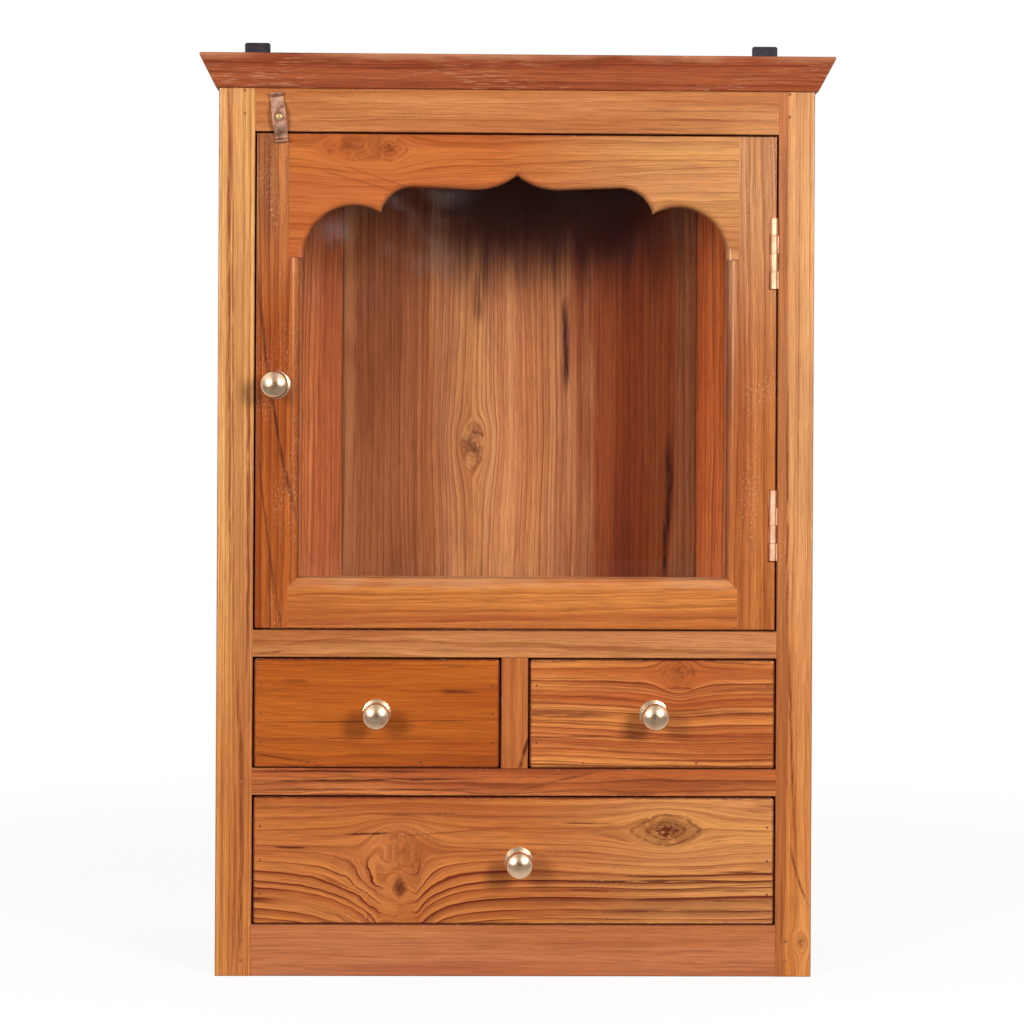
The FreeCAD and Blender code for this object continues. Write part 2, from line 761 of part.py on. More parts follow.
# Top rail: the arch is an ogee at the middle, a nearly level run, a round shoulder, a cusp and a lobe
def arc(centre, radius, first, last):
    """An arc in the front plane, between two angles in radians."""
    angles = (first, (first + last) / 2, last)
    points = [centre + V(radius * math.cos(a), 0, radius * math.sin(a)) for a in angles]
    return Part.Arc(*points).toShape()


def half_arch(reach, growth, cut_y):
    """The right half of the arch, from the apex to the foot of a lobe that reaches out to a value.

    Growth moves the whole line into the wood, and cut_y is the plane that the line lies in.
    """
    ogee_rise = apex_z - arch_flat_z
    ogee_radius = (arch_ogee_half_width**2 + ogee_rise**2) / (2 * ogee_rise)
    ogee = V(arch_ogee_half_width, cut_y, arch_flat_z + ogee_radius)
    apex_angle = -math.pi + math.acos(arch_ogee_half_width / (ogee_radius - growth))
    shoulder_run = math.sqrt(arch_cusp_drop * (2 * arch_shoulder_radius - arch_cusp_drop))
    shoulder = V(arch_cusp_half_width - shoulder_run, cut_y, arch_shoulder_z - arch_shoulder_radius)
    span = reach - arch_cusp_half_width
    lobe_radius = span + arch_lobe_rise - math.sqrt(2 * span * arch_lobe_rise)
    lobe = V(reach - lobe_radius, cut_y, cusp_z + arch_lobe_rise - lobe_radius)
    shoulder_radius = arch_shoulder_radius + growth
    lobe_radius += growth
    apart = lobe - shoulder
    tilt = math.atan2(apart.z, apart.x)
    cosine = (shoulder_radius**2 + apart.Length**2 - lobe_radius**2) / (2 * shoulder_radius * apart.Length)
    shoulder_angle = tilt + math.acos(cosine)
    cusp = shoulder + V(math.cos(shoulder_angle), 0, math.sin(shoulder_angle)) * shoulder_radius
    lobe_angle = math.atan2(cusp.z - lobe.z, cusp.x - lobe.x)
    return [
        arc(ogee, ogee_radius - growth, apex_angle, -math.pi / 2),
        joined(ogee - V(0, 0, ogee_radius - growth), shoulder + V(0, 0, shoulder_radius)),
        arc(shoulder, shoulder_radius, math.pi / 2, shoulder_angle),
        arc(lobe, lobe_radius, lobe_angle, 0),
        joined(lobe + V(lobe_radius, 0, 0), V(reach + growth, cut_y, bottom_rail_top_z)),
    ]


left_reach = -left_inner_x - arch_left_lip
right_reach = right_inner_x - arch_right_lip


def arch_line(growth, cut_y):
    """The whole closed outline of the opening under the arch."""
    right = half_arch(right_reach, growth, cut_y)
    left = [edge.mirror(V(0, 0, 0), V(1, 0, 0)) for edge in half_arch(left_reach, growth, cut_y)]
    sill = joined(left[-1].Vertexes[-1].Point, right[-1].Vertexes[-1].Point)
    return Part.Wire(Part.__sortEdges__(right + left + [sill]))


# The front edge of the arch is rounded over in narrow bands, each a step of the quarter circle
sections = [arch_line(arch_round, face_y - overrun)]
for band in range(arch_bands + 1):
    turn = math.pi / 2 * band / arch_bands
    sections.append(arch_line(
        arch_round * (1 - math.sin(turn)), face_y + arch_round * (1 - math.cos(turn)),
    ))
sections.append(arch_line(0, door_y[1] + overrun))
arch_cut = Part.makeLoft(sections, True, True)

rail = block((left_shoulder_x, right_shoulder_x), door_y, (top_rail_end_z, door_top_z))
rail = rounded(rail, edge_round, lambda p: same(p.y, face_y) and same(p.z, door_top_z))
rail = rail.cut(arch_cut)
pieces["door_top_rail"] = rail.cut(rebate).multiFuse(door_tenons(top_tenon_z, 0, tenon_length))

# Glass in the rebate, and the four beads that hold it
glass_x = (rebate_x[0] + glass_clearance, rebate_x[1] - glass_clearance)
glass_z = (rebate_bottom_z + glass_clearance, rebate_top_z - glass_clearance)
bead_y = (rebate_y[0] + glass_thickness, rebate_y[1])
pieces["glass_pane"] = block(glass_x, (rebate_y[0], bead_y[0]), glass_z)
bead_sides_x = (rebate_x[0] + rebate_width, rebate_x[1] - rebate_width)
pieces["glazing_beads"] = Part.makeCompound([
    block((rebate_x[0], bead_sides_x[0]), bead_y, (rebate_bottom_z, rebate_top_z)),
    block((bead_sides_x[1], rebate_x[1]), bead_y, (rebate_bottom_z, rebate_top_z)),
    block(bead_sides_x, bead_y, (rebate_bottom_z, rebate_bottom_z + rebate_width)),
    block(bead_sides_x, bead_y, (rebate_top_z - rebate_width, rebate_top_z)),
])


# Drawers: a front nailed to two sides and a bottom, with a back between the sides
def drawer(name, x_range, z_range, knob_shift=0):
    """One drawer in an opening of the face frame, with a knob near the middle of its front."""
    left_x, right_x = x_range[0] + drawer_side_gap, x_range[1] - drawer_side_gap
    low_z, high_z = z_range[0] + drawer_bottom_gap, z_range[1] - drawer_top_gap
    front_back_y = face_y + drawer_front_thickness
    end_y = plank_y - drawer_stop_gap
    side_top_z = high_z - drawer_side_drop
    floor_z = low_z + drawer_bottom_thickness
    between_x = (left_x + drawer_side_thickness, right_x - drawer_side_thickness)
    front = block((left_x, right_x), (face_y, front_back_y), (low_z, high_z))
    corners = [edge for edge in front.Edges if same(edge.Length, drawer_front_thickness)]
    front = front.makeFillet(drawer_corner_round, corners)
    front = rounded(front, drawer_front_round, lambda p: same(p.y, face_y))
    sides = [
        block((left_x, between_x[0]), (front_back_y, end_y), (low_z, side_top_z)),
        block((between_x[1], right_x), (front_back_y, end_y), (low_z, side_top_z)),
    ]
    bottom = block(between_x, (front_back_y, end_y), (low_z, floor_z))
    nail_places = []
    for side_x in (left_x + drawer_side_thickness / 2, right_x - drawer_side_thickness / 2):
        nail_places += [(side_x, low_z + share * (side_top_z - low_z)) for share in side_nail_shares]
    for share in bottom_nail_shares:
        nail_places.append((left_x + share * (right_x - left_x), low_z + drawer_bottom_thickness / 2))
    nails = [Part.makeCylinder(nail_radius, nail_length, V(x, face_y, z), V(0, 1, 0)) for x, z in nail_places]
    turned = knob(V((left_x + right_x) / 2 + knob_shift, face_y, (low_z + high_z) / 2))
    pieces[name + "_front"] = cut_all(front, nails + [turned])
    pieces[name + "_sides"] = Part.makeCompound([cut_all(board, nails) for board in sides])
    pieces[name + "_back"] = block(between_x, (end_y - drawer_back_thickness, end_y), (floor_z, side_top_z))
    pieces[name + "_bottom"] = cut_all(bottom, nails)
    pieces[name + "_nails"] = Part.makeCompound(nails)
    pieces[name + "_knob"] = turned


small_opening_z = (small_floor_z, upper_rail_z)
drawer("left_drawer", (-opening_half, -divider_half), small_opening_z)
drawer("right_drawer", (divider_half, opening_half), small_opening_z, right_knob_shift)
drawer("large_drawer", (-opening_half, opening_half), (bottom_rail_height, lower_rail_z), large_knob_shift)

os.makedirs("parts", exist_ok=True)
for name, shape in pieces.items():
    shape.exportStep(os.path.join("parts", name + ".step"))
    print(name, len(shape.Solids), shape.isValid(), round(shape.Volume))
print(len(pieces), "pieces")
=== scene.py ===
import bmesh
import bpy
import math
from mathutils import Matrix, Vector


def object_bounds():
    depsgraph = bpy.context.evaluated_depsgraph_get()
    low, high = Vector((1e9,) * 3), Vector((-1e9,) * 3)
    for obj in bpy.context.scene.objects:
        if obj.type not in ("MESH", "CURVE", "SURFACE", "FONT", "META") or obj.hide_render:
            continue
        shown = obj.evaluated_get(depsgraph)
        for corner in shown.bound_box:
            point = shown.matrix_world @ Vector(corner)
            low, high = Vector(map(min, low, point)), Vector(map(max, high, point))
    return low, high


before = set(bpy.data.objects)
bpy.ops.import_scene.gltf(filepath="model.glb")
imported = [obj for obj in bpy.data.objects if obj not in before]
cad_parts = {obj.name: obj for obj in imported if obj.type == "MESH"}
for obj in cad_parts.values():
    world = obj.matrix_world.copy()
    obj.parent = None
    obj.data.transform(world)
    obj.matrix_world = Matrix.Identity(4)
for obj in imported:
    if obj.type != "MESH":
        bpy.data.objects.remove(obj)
cad_low, cad_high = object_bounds()


# Carcass: two sides, a top board that lies on them, three boards housed between them and a small
# partition, all of teak. The sides stand with their grain upright and are thinly lacquered outside,
# with painted shade on their inner faces; the other boards lie along the cabinet and are left dull,
# and those inside it are coloured darker as painted shade.
def tone(red, green, blue):
    """A colour in display values from 0 to 255, as the linear colour that a socket takes."""
    shares = [value / 255 for value in (red, green, blue)]
    linear = [s / 12.92 if s <= 0.04045 else ((s + 0.055) / 1.055) ** 2.4 for s in shares]
    return (*linear, 1.0)


def put(tree, value, socket):
    """Links a socket, or sets a plain value."""
    if isinstance(value, bpy.types.NodeSocket):
        tree.links.new(value, socket)
    else:
        socket.default_value = value


def calc(tree, operation, *terms):
    """One step of arithmetic on values or sockets."""
    node = tree.nodes.new("ShaderNodeMath")
    node.operation = operation
    for term, socket in zip(terms, node.inputs):
        put(tree, term, socket)
    return node.outputs[0]


def rise(tree, value, low, high, top=1.0):
    """A smooth step from 0 at low to top at high."""
    node = tree.nodes.new("ShaderNodeMapRange")
    node.interpolation_type = "SMOOTHSTEP"
    for term, socket in zip((value, low, high, 0.0, top), node.inputs):
        put(tree, term, socket)
    return node.outputs[0]


def fall(tree, value, low, high):
    """A smooth step from 1 at low to 0 at high."""
    return calc(tree, "SUBTRACT", 1.0, rise(tree, value, low, high))


def grainy(tree, place, scales, seed, detail=2.0):
    """Noise from 0 to 1 whose cells are stretched by the three scales, in cells per metre."""
    spot = tree.nodes.new("ShaderNodeVectorMath")
    spot.operation = "MULTIPLY_ADD"
    put(tree, place, spot.inputs[0])
    put(tree, scales, spot.inputs[1])
    put(tree, seed if isinstance(seed, bpy.types.NodeSocket) else (seed, seed, seed), spot.inputs[2])
    node = tree.nodes.new("ShaderNodeTexNoise")
    put(tree, spot.outputs[0], node.inputs["Vector"])
    node.inputs["Scale"].default_value = 1.0
    node.inputs["Detail"].default_value = detail
    return node.outputs["Fac"]


def blend_colour(tree, share, first, second, kind="MIX"):
    """A colour between first and second."""
    node = tree.nodes.new("ShaderNodeMix")
    node.data_type = "RGBA"
    node.blend_type = kind
    put(tree, share, node.inputs["Factor"])
    put(tree, first, node.inputs["A"])
    put(tree, second, node.inputs["B"])
    return node.outputs["Result"]


def parts_of(tree, place):
    """The three numbers of a place."""
    node = tree.nodes.new("ShaderNodeSeparateXYZ")
    put(tree, place, node.inputs[0])
    return node.outputs[0], node.outputs[1], node.outputs[2]


def place_of(tree, along, across, through):
    """A place from its three numbers."""
    node = tree.nodes.new("ShaderNodeCombineXYZ")
    for term, socket in zip((along, across, through), node.inputs):
        put(tree, term, socket)
    return node.outputs[0]


def effect(name, inputs, outputs):
    """An empty node group with named sockets: its tree, what it is given and what it puts out."""
    kinds = {"place": "NodeSocketVector", "colour": "NodeSocketColor", "value": "NodeSocketFloat"}
    tree = bpy.data.node_groups.new(name, "ShaderNodeTree")
    for socket, kind in inputs.items():
        tree.interface.new_socket(socket, in_out="INPUT", socket_type=kinds[kind])
    for socket, kind in outputs.items():
        tree.interface.new_socket(socket, in_out="OUTPUT", socket_type=kinds[kind])
    given = tree.nodes.new("NodeGroupInput").outputs
    made = tree.nodes.new("NodeGroupOutput").inputs
    return tree, given, made


def use(tree, group, **values):
    """A node group placed in a tree, with its inputs set or linked."""
    node = tree.nodes.new("ShaderNodeGroup")
    node.node_tree = group
    for name, value in values.items():
        put(tree, value, node.inputs[name.replace("_", " ")])
    return node.outputs


# The figure of a teak board. A place is (along the grain, across the board, through it), in metres.
# Growth rings are rings about the heart of the log, bent by slow waves; each ends in a dark line.
teak_figure, given, made = effect(
    "teak_figure",
    {
        "Place": "place", "Seed": "value", "Light": "colour", "Dark": "colour", "Line": "colour",
        "Ring Width": "value", "Ring Strength": "value", "Waves": "value", "Heart Across": "value",
        "Heart Depth": "value", "Taper": "value", "Pores": "value", "Flecks": "value", "Dashes": "value",
        "Hairs": "value", "Haze": "value", "Haze Colour": "colour", "Mark": "value",
        "Mark Colour": "colour", "Chips": "value",
    },
    {"Colour": "colour", "Roughness": "value", "Height": "value"},
)
tree = teak_figure
place, seed = given["Place"], given["Seed"]
along, across, through = parts_of(tree, place)
slow = calc(tree, "SUBTRACT", grainy(tree, place, (3.0, 14.0, 14.0), seed, 1.0), 0.5)
fine = calc(tree, "SUBTRACT", grainy(tree, place, (17.0, 70.0, 70.0), seed), 0.5)
waves = calc(tree, "MULTIPLY", calc(tree, "MULTIPLY_ADD", fine, 0.3, slow), given["Waves"])
from_heart = calc(tree, "SUBTRACT", across, given["Heart Across"])
below_heart = calc(tree, "SUBTRACT", through, given["Heart Depth"])
radius = calc(
    tree, "SQRT",
    calc(tree, "MULTIPLY_ADD", from_heart, from_heart, calc(tree, "MULTIPLY", below_heart, below_heart)),
)
radius = calc(tree, "ADD", calc(tree, "MULTIPLY_ADD", along, given["Taper"], radius), waves)
flow = place_of(tree, along, radius, through)
uneven = grainy(tree, flow, (0.9, 85.0, 40.0), calc(tree, "ADD", seed, 7.0), 1.0)
uneven = calc(tree, "SUBTRACT", uneven, 0.5)
rings = calc(tree, "MULTIPLY_ADD", uneven, 2.6, calc(tree, "DIVIDE", radius, given["Ring Width"]))
within = calc(tree, "FRACT", rings)
count = calc(tree, "FLOOR", rings)
chance = tree.nodes.new("ShaderNodeTexWhiteNoise")
chance.noise_dimensions = "1D"
put(tree, calc(tree, "ADD", count, seed), chance.inputs["W"])
ring_place = place_of(tree, calc(tree, "MULTIPLY", along, 11.0), count, seed)
run = grainy(tree, ring_place, (1.0, 3.7, 1.0), seed)
edge = calc(
    tree, "MULTIPLY",
    calc(tree, "MAXIMUM", rise(tree, within, 0.72, 0.92), rise(tree, within, 0.2, 0.95, 0.35)),
    fall(tree, within, 0.95, 1.0),
)
boldness = calc(tree, "MULTIPLY_ADD", chance.outputs["Value"], 0.7, 0.3)
boldness = calc(tree, "MULTIPLY", boldness, rise(tree, run, 0.2, 0.55))
line = calc(tree, "MULTIPLY", calc(tree, "MULTIPLY", edge, boldness), given["Ring Strength"])
dash = rise(tree, grainy(tree, place, (19.0, 380.0, 380.0), seed, 1.0), 0.63, 0.74)
line = calc(tree, "MAXIMUM", line, calc(tree, "MULTIPLY", dash, given["Dashes"]))
hair = rise(tree, grainy(tree, flow, (4.4, 760.0, 90.0), seed, 2.0), 0.55, 0.68)
line = calc(tree, "MAXIMUM", line, calc(tree, "MULTIPLY", hair, given["Hairs"]))
clouds = grainy(tree, place, (4.2, 24.0, 24.0), seed, 3.0)
stripes = grainy(tree, flow, (1.6, 120.0, 90.0), seed, 3.0)
shade = calc(tree, "MULTIPLY_ADD", stripes, 0.5, calc(tree, "MULTIPLY", clouds, 0.5))
shade = calc(
    tree, "MULTIPLY_ADD", calc(tree, "SUBTRACT", within, 0.5),
    calc(tree, "MULTIPLY", given["Ring Strength"], 0.12), shade,
)
colour = blend_colour(tree, rise(tree, shade, 0.38, 0.62), given["Light"], given["Dark"])
golden = grainy(tree, flow, (1.3, 50.0, 50.0), calc(tree, "ADD", seed, 13.0), 2.0)
golden = rise(tree, golden, 0.45, 0.65, 0.8)
colour = blend_colour(tree, golden, colour, (1.06, 1.12, 0.98, 1.0), "MULTIPLY")
red = grainy(tree, flow, (1.7, 75.0, 75.0), calc(tree, "ADD", seed, 23.0), 2.0)
red = rise(tree, red, 0.5, 0.68, 0.8)
colour = blend_colour(tree, red, colour, (0.90, 0.78, 0.74, 1.0), "MULTIPLY")
colour = blend_colour(tree, line, colour, given["Line"])
fibre = grainy(tree, place, (34.0, 1300.0, 1300.0), seed, 1.0)
pore = rise(tree, grainy(tree, place, (85.0, 2100.0, 2100.0), seed, 0.0), 0.58, 0.74)
pore = calc(tree, "MULTIPLY", pore, given["Pores"])
colour = blend_colour(tree, calc(tree, "MULTIPLY", pore, 0.55), colour, given["Line"])
level = calc(tree, "MULTIPLY_ADD", fibre, 0.76, 0.62)
scaled = tree.nodes.new("ShaderNodeVectorMath")
scaled.operation = "SCALE"
put(tree, colour, scaled.inputs[0])
put(tree, level, scaled.inputs["Scale"])
# Marks darken the colour: dirt, streaks and knots, and painted shade where a board is given it.
colour = blend_colour(tree, given["Mark"], scaled.outputs[0], given["Mark Colour"])
# Paler where the finish is rubbed through, partly a painted highlight.
colour = blend_colour(tree, given["Haze"], colour, given["Haze Colour"])
fleck = grainy(tree, place, (480.0, 1300.0, 1300.0), calc(tree, "ADD", seed, 31.0), 1.0)
worn = grainy(tree, place, (13.0, 60.0, 60.0), calc(tree, "ADD", seed, 77.0), 2.0)
fleck = calc(tree, "MULTIPLY", rise(tree, fleck, 0.56, 0.74), rise(tree, worn, 0.47, 0.66))
fleck = calc(tree, "MULTIPLY", fleck, given["Flecks"])
fleck = calc(tree, "MAXIMUM", fleck, given["Chips"])
colour = blend_colour(tree, fleck, colour, tone(230, 182, 144))
put(tree, colour, made["Colour"])
rough = calc(tree, "MULTIPLY_ADD", fibre, 0.14, 0.33)
put(tree, calc(tree, "MULTIPLY_ADD", pore, 0.25, rough), made["Roughness"])
relief = calc(tree, "MULTIPLY_ADD", pore, -1.0, calc(tree, "MULTIPLY", fibre, 0.35))
put(tree, calc(tree, "MULTIPLY_ADD", line, -0.25, relief), made["Height"])

# A knot: the grain flows round it, and its own rings and dark heart show inside it.
teak_knot, given, made = effect(
    "teak_knot",
    {
        "Place": "place", "Mark": "value", "Along": "value", "Across": "value", "Radius": "value",
        "Stretch": "value", "Heart": "value", "Stain": "value", "Seed": "value",
    },
    {"Place": "place", "Mark": "value"},
)
tree = teak_knot
along, across, through = parts_of(tree, given["Place"])
out_along = calc(tree, "DIVIDE", calc(tree, "SUBTRACT", along, given["Along"]), given["Stretch"])
out_across = calc(tree, "SUBTRACT", across, given["Across"])
shake = calc(tree, "SUBTRACT", grainy(tree, given["Place"], (75.0, 75.0, 75.0), given["Seed"], 2.0), 0.5)
square = calc(tree, "MULTIPLY_ADD", out_along, out_along, calc(tree, "MULTIPLY", out_across, out_across))
own_square = calc(tree, "MULTIPLY", given["Radius"], given["Radius"])
pull = calc(tree, "DIVIDE", own_square, calc(tree, "MAXIMUM", square, own_square))
bent = calc(tree, "MULTIPLY_ADD", out_across, calc(tree, "SUBTRACT", 1.0, pull), given["Across"])
bent = calc(
    tree, "MULTIPLY_ADD", calc(tree, "MULTIPLY", shake, pull),
    calc(tree, "MULTIPLY", given["Radius"], 0.55), bent,
)
put(tree, place_of(tree, along, bent, through), made["Place"])
pointed = calc(
    tree, "ADD",
    calc(tree, "POWER", calc(tree, "ABSOLUTE", out_along), 1.4),
    calc(tree, "POWER", calc(tree, "ABSOLUTE", out_across), 1.4),
)
reach = calc(tree, "DIVIDE", calc(tree, "POWER", pointed, 0.714), given["Radius"])
reach = calc(tree, "MULTIPLY_ADD", shake, 0.4, reach)
patchy = grainy(tree, given["Place"], (260.0, 420.0, 420.0), calc(tree, "ADD", given["Seed"], 8.0), 3.0)
depth = calc(tree, "ADD", reach, calc(tree, "MULTIPLY_ADD", patchy, 1.6, -0.8))
core = fall(tree, depth, 0.1, 0.62)
from_inner = calc(tree, "ABSOLUTE", calc(tree, "SUBTRACT", reach, 0.58))
from_outer = calc(tree, "ABSOLUTE", calc(tree, "SUBTRACT", reach, 1.0))
inner = fall(tree, from_inner, 0.0, 0.13)
outer = fall(tree, from_outer, 0.0, 0.14)
rims = calc(tree, "MAXIMUM", calc(tree, "MULTIPLY", inner, 0.8), calc(tree, "MULTIPLY", outer, 0.6))
rims = calc(tree, "MULTIPLY", rims, rise(tree, patchy, 0.3, 0.58))
marked = calc(tree, "MULTIPLY", calc(tree, "MAXIMUM", core, rims), given["Heart"])
stain = calc(tree, "MULTIPLY_ADD", patchy, 0.8, 0.6)
stain = calc(tree, "MULTIPLY", stain, fall(tree, reach, 0.6, 1.1))
marked = calc(tree, "MAXIMUM", marked, calc(tree, "MULTIPLY", stain, given["Stain"]))
put(tree, calc(tree, "MAXIMUM", given["Mark"], marked), made["Mark"])

# The grain beside a large knot: it falls on either side towards the knot's foot, shakes close to it
# and arches over its head. The knot itself stands plain between the two sides.
teak_fan, given, made = effect(
    "teak_fan",
    {
        "Place": "place", "Along": "value", "Half": "value", "Left Drop": "value", "Left Reach": "value",
        "Right Drop": "value", "Right Reach": "value", "Eye": "value", "Top": "value",
    },
    {"Place": "place", "Plain": "value"},
)
tree = teak_fan
along, across, through = parts_of(tree, given["Place"])
shake = calc(tree, "SUBTRACT", grainy(tree, given["Place"], (95.0, 95.0, 95.0), 5.0, 2.0), 0.5)
off = calc(tree, "MULTIPLY_ADD", shake, 0.003, calc(tree, "SUBTRACT", along, given["Along"]))
beside = calc(tree, "ABSOLUTE", off)
outside = calc(tree, "MAXIMUM", calc(tree, "SUBTRACT", beside, given["Half"]), 0.0)
right = calc(tree, "GREATER_THAN", off, 0.0)
drop_step = calc(tree, "SUBTRACT", given["Right Drop"], given["Left Drop"])
drop = calc(tree, "MULTIPLY_ADD", right, drop_step, given["Left Drop"])
reach_step = calc(tree, "SUBTRACT", given["Right Reach"], given["Left Reach"])
reach = calc(tree, "MULTIPLY_ADD", right, reach_step, given["Left Reach"])
near = calc(tree, "EXPONENT", calc(tree, "MULTIPLY", calc(tree, "DIVIDE", outside, reach), -1.0))
low = fall(tree, across, given["Eye"], given["Top"])
bent = calc(tree, "MULTIPLY_ADD", calc(tree, "MULTIPLY", drop, near), low, across)
spread = calc(tree, "DIVIDE", beside, calc(tree, "MULTIPLY", given["Half"], 1.7))
arch = calc(tree, "EXPONENT", calc(tree, "MULTIPLY", calc(tree, "MULTIPLY", spread, spread), -1.0))
arch = calc(tree, "MULTIPLY", arch, rise(tree, across, given["Eye"], given["Top"]))
past_top = calc(tree, "ADD", given["Top"], 0.014)
arch = calc(tree, "MULTIPLY", arch, fall(tree, across, given["Top"], past_top))
bent = calc(tree, "MULTIPLY_ADD", arch, -0.009, bent)
zigzag = calc(tree, "MULTIPLY", calc(tree, "MULTIPLY", shake, near), low)
bent = calc(tree, "MULTIPLY_ADD", zigzag, 0.009, bent)
column_start = calc(tree, "MULTIPLY", given["Half"], 0.6)
column_end = calc(tree, "MULTIPLY", given["Half"], 1.15)
column = calc(tree, "MULTIPLY", fall(tree, beside, column_start, column_end), low)
put(tree, column, made["Plain"])
put(tree, place_of(tree, along, bent, through), made["Place"])

# A dark mineral streak along the grain, between two ends, ragged along its edges.
teak_streak, given, made = effect(
    "teak_streak",
    {
        "Place": "place", "Mark": "value", "Across": "value", "Slope": "value", "Curve": "value",
        "Width": "value", "Strength": "value", "Start": "value", "End": "value", "Seed": "value",
    },
    {"Mark": "value"},
)
tree = teak_streak
along, across, _ = parts_of(tree, given["Place"])
wander = calc(tree, "SUBTRACT", grainy(tree, given["Place"], (26.0, 90.0, 90.0), given["Seed"]), 0.5)
off = calc(tree, "SUBTRACT", across, given["Across"])
gone = calc(tree, "SUBTRACT", along, given["Start"])
turn = calc(tree, "MULTIPLY_ADD", gone, given["Curve"], given["Slope"])
off = calc(tree, "SUBTRACT", off, calc(tree, "MULTIPLY", gone, turn))
off = calc(tree, "MULTIPLY_ADD", wander, calc(tree, "MULTIPLY", given["Width"], 1.4), off)
near = calc(tree, "DIVIDE", calc(tree, "ABSOLUTE", off), given["Width"])
body = fall(tree, near, 0.15, 1.0)
fade = calc(tree, "MULTIPLY", calc(tree, "SUBTRACT", given["End"], given["Start"]), 0.3)
begins = rise(tree, along, given["Start"], calc(tree, "ADD", given["Start"], fade))
ends = fall(tree, along, calc(tree, "SUBTRACT", given["End"], fade), given["End"])
broken = rise(tree, grainy(tree, given["Place"], (60.0, 900.0, 900.0), given["Seed"]), 0.2, 0.6)
broken = calc(tree, "MAXIMUM", broken, rise(tree, given["Width"], 0.004, 0.012))
broken = calc(tree, "MAXIMUM", broken, calc(tree, "SUBTRACT", given["Strength"], 1.0))
body = calc(tree, "MULTIPLY", calc(tree, "MULTIPLY", body, broken), calc(tree, "MULTIPLY", begins, ends))
body = calc(tree, "MULTIPLY", body, calc(tree, "MINIMUM", given["Strength"], 1.0))
put(tree, calc(tree, "MAXIMUM", given["Mark"], body), made["Mark"])

# The edges of a board's face, where the lacquer runs thick and dirt gathers in the joints, and where
# knocks have chipped it through to paler wood.
teak_edge, given, made = effect(
    "teak_edge",
    {
        "Place": "place", "Low": "place", "High": "place", "Width": "value", "Strength": "value",
        "Wear": "value",
    },
    {"Mark": "value", "Chips": "value"},
)
tree = teak_edge
inward = 1.0
spots, lows, highs = [parts_of(tree, given[name]) for name in ("Place", "Low", "High")]
for spot, low, high in list(zip(spots, lows, highs))[:2]:
    inward = calc(tree, "MINIMUM", inward, calc(tree, "SUBTRACT", spot, low))
    inward = calc(tree, "MINIMUM", inward, calc(tree, "SUBTRACT", high, spot))
ragged = grainy(tree, given["Place"], (140.0, 140.0, 140.0), 9.0, 3.0)
width = calc(tree, "MULTIPLY", given["Width"], calc(tree, "MULTIPLY_ADD", ragged, 1.6, 0.2))
dirt = fall(tree, calc(tree, "DIVIDE", inward, width), 0.2, 1.0)
put(tree, calc(tree, "MULTIPLY", dirt, given["Strength"]), made["Mark"])
knocks = grainy(tree, given["Place"], (210.0, 420.0, 420.0), 27.0, 3.0)
knocks = rise(tree, calc(tree, "MULTIPLY_ADD", ragged, 0.5, knocks), 0.86, 0.98)
knocks = calc(tree, "MULTIPLY", knocks, fall(tree, inward, 0.0006, 0.0022))
put(tree, calc(tree, "MULTIPLY", knocks, given["Wear"]), made["Chips"])

# A band of deeper coloured heartwood across part of a board, with soft uneven edges.
teak_band, given, made = effect(
    "teak_band",
    {
        "Place": "place", "Share": "value", "Low": "value", "High": "value", "Soft": "value",
        "Strength": "value",
    },
    {"Share": "value"},
)
tree = teak_band
_, across, _ = parts_of(tree, given["Place"])
wander = calc(tree, "SUBTRACT", grainy(tree, given["Place"], (5.0, 60.0, 60.0), 15.0, 3.0), 0.5)
across = calc(tree, "MULTIPLY_ADD", wander, calc(tree, "MULTIPLY", given["Soft"], 2.5), across)
begins = rise(tree, across, given["Low"], calc(tree, "ADD", given["Low"], given["Soft"]))
ends = rise(tree, across, calc(tree, "SUBTRACT", given["High"], given["Soft"]), given["High"])
share = calc(tree, "MULTIPLY", calc(tree, "SUBTRACT", begins, ends), given["Strength"])
put(tree, calc(tree, "MAXIMUM", given["Share"], share), made["Share"])

# A pale band past a ragged line across the board, partly rubbed-through finish and partly a painted
# highlight, and scattered patches where the finish is rubbed through.
teak_rub_and_highlight, given, made = effect(
    "teak_rub_and_highlight",
    {
        "Place": "place", "Low": "value", "High": "value", "Strength": "value", "Patches": "value",
        "Seed": "value",
    },
    {"Pale": "value"},
)
tree = teak_rub_and_highlight
_, across, _ = parts_of(tree, given["Place"])
ragged = grainy(tree, given["Place"], (45.0, 330.0, 330.0), given["Seed"], 4.0)
ragged = calc(tree, "SUBTRACT", ragged, 0.5)
edge = rise(tree, calc(tree, "MULTIPLY_ADD", ragged, 0.010, across), given["Low"], given["High"])
strip = grainy(tree, given["Place"], (16.0, 16.0, 16.0), calc(tree, "ADD", given["Seed"], 3.0), 2.0)
strip = calc(tree, "MULTIPLY", given["Strength"], rise(tree, strip, 0.25, 0.6))
edge = calc(tree, "MULTIPLY", edge, strip)
chip = grainy(tree, given["Place"], (75.0, 720.0, 720.0), calc(tree, "ADD", given["Seed"], 11.0), 4.0)
field = grainy(tree, given["Place"], (11.0, 60.0, 60.0), calc(tree, "ADD", given["Seed"], 19.0), 2.0)
chip = calc(tree, "MULTIPLY", rise(tree, chip, 0.50, 0.68), rise(tree, field, 0.44, 0.62))
put(tree, calc(tree, "MAXIMUM", edge, calc(tree, "MULTIPLY", chip, given["Patches"])), made["Pale"])


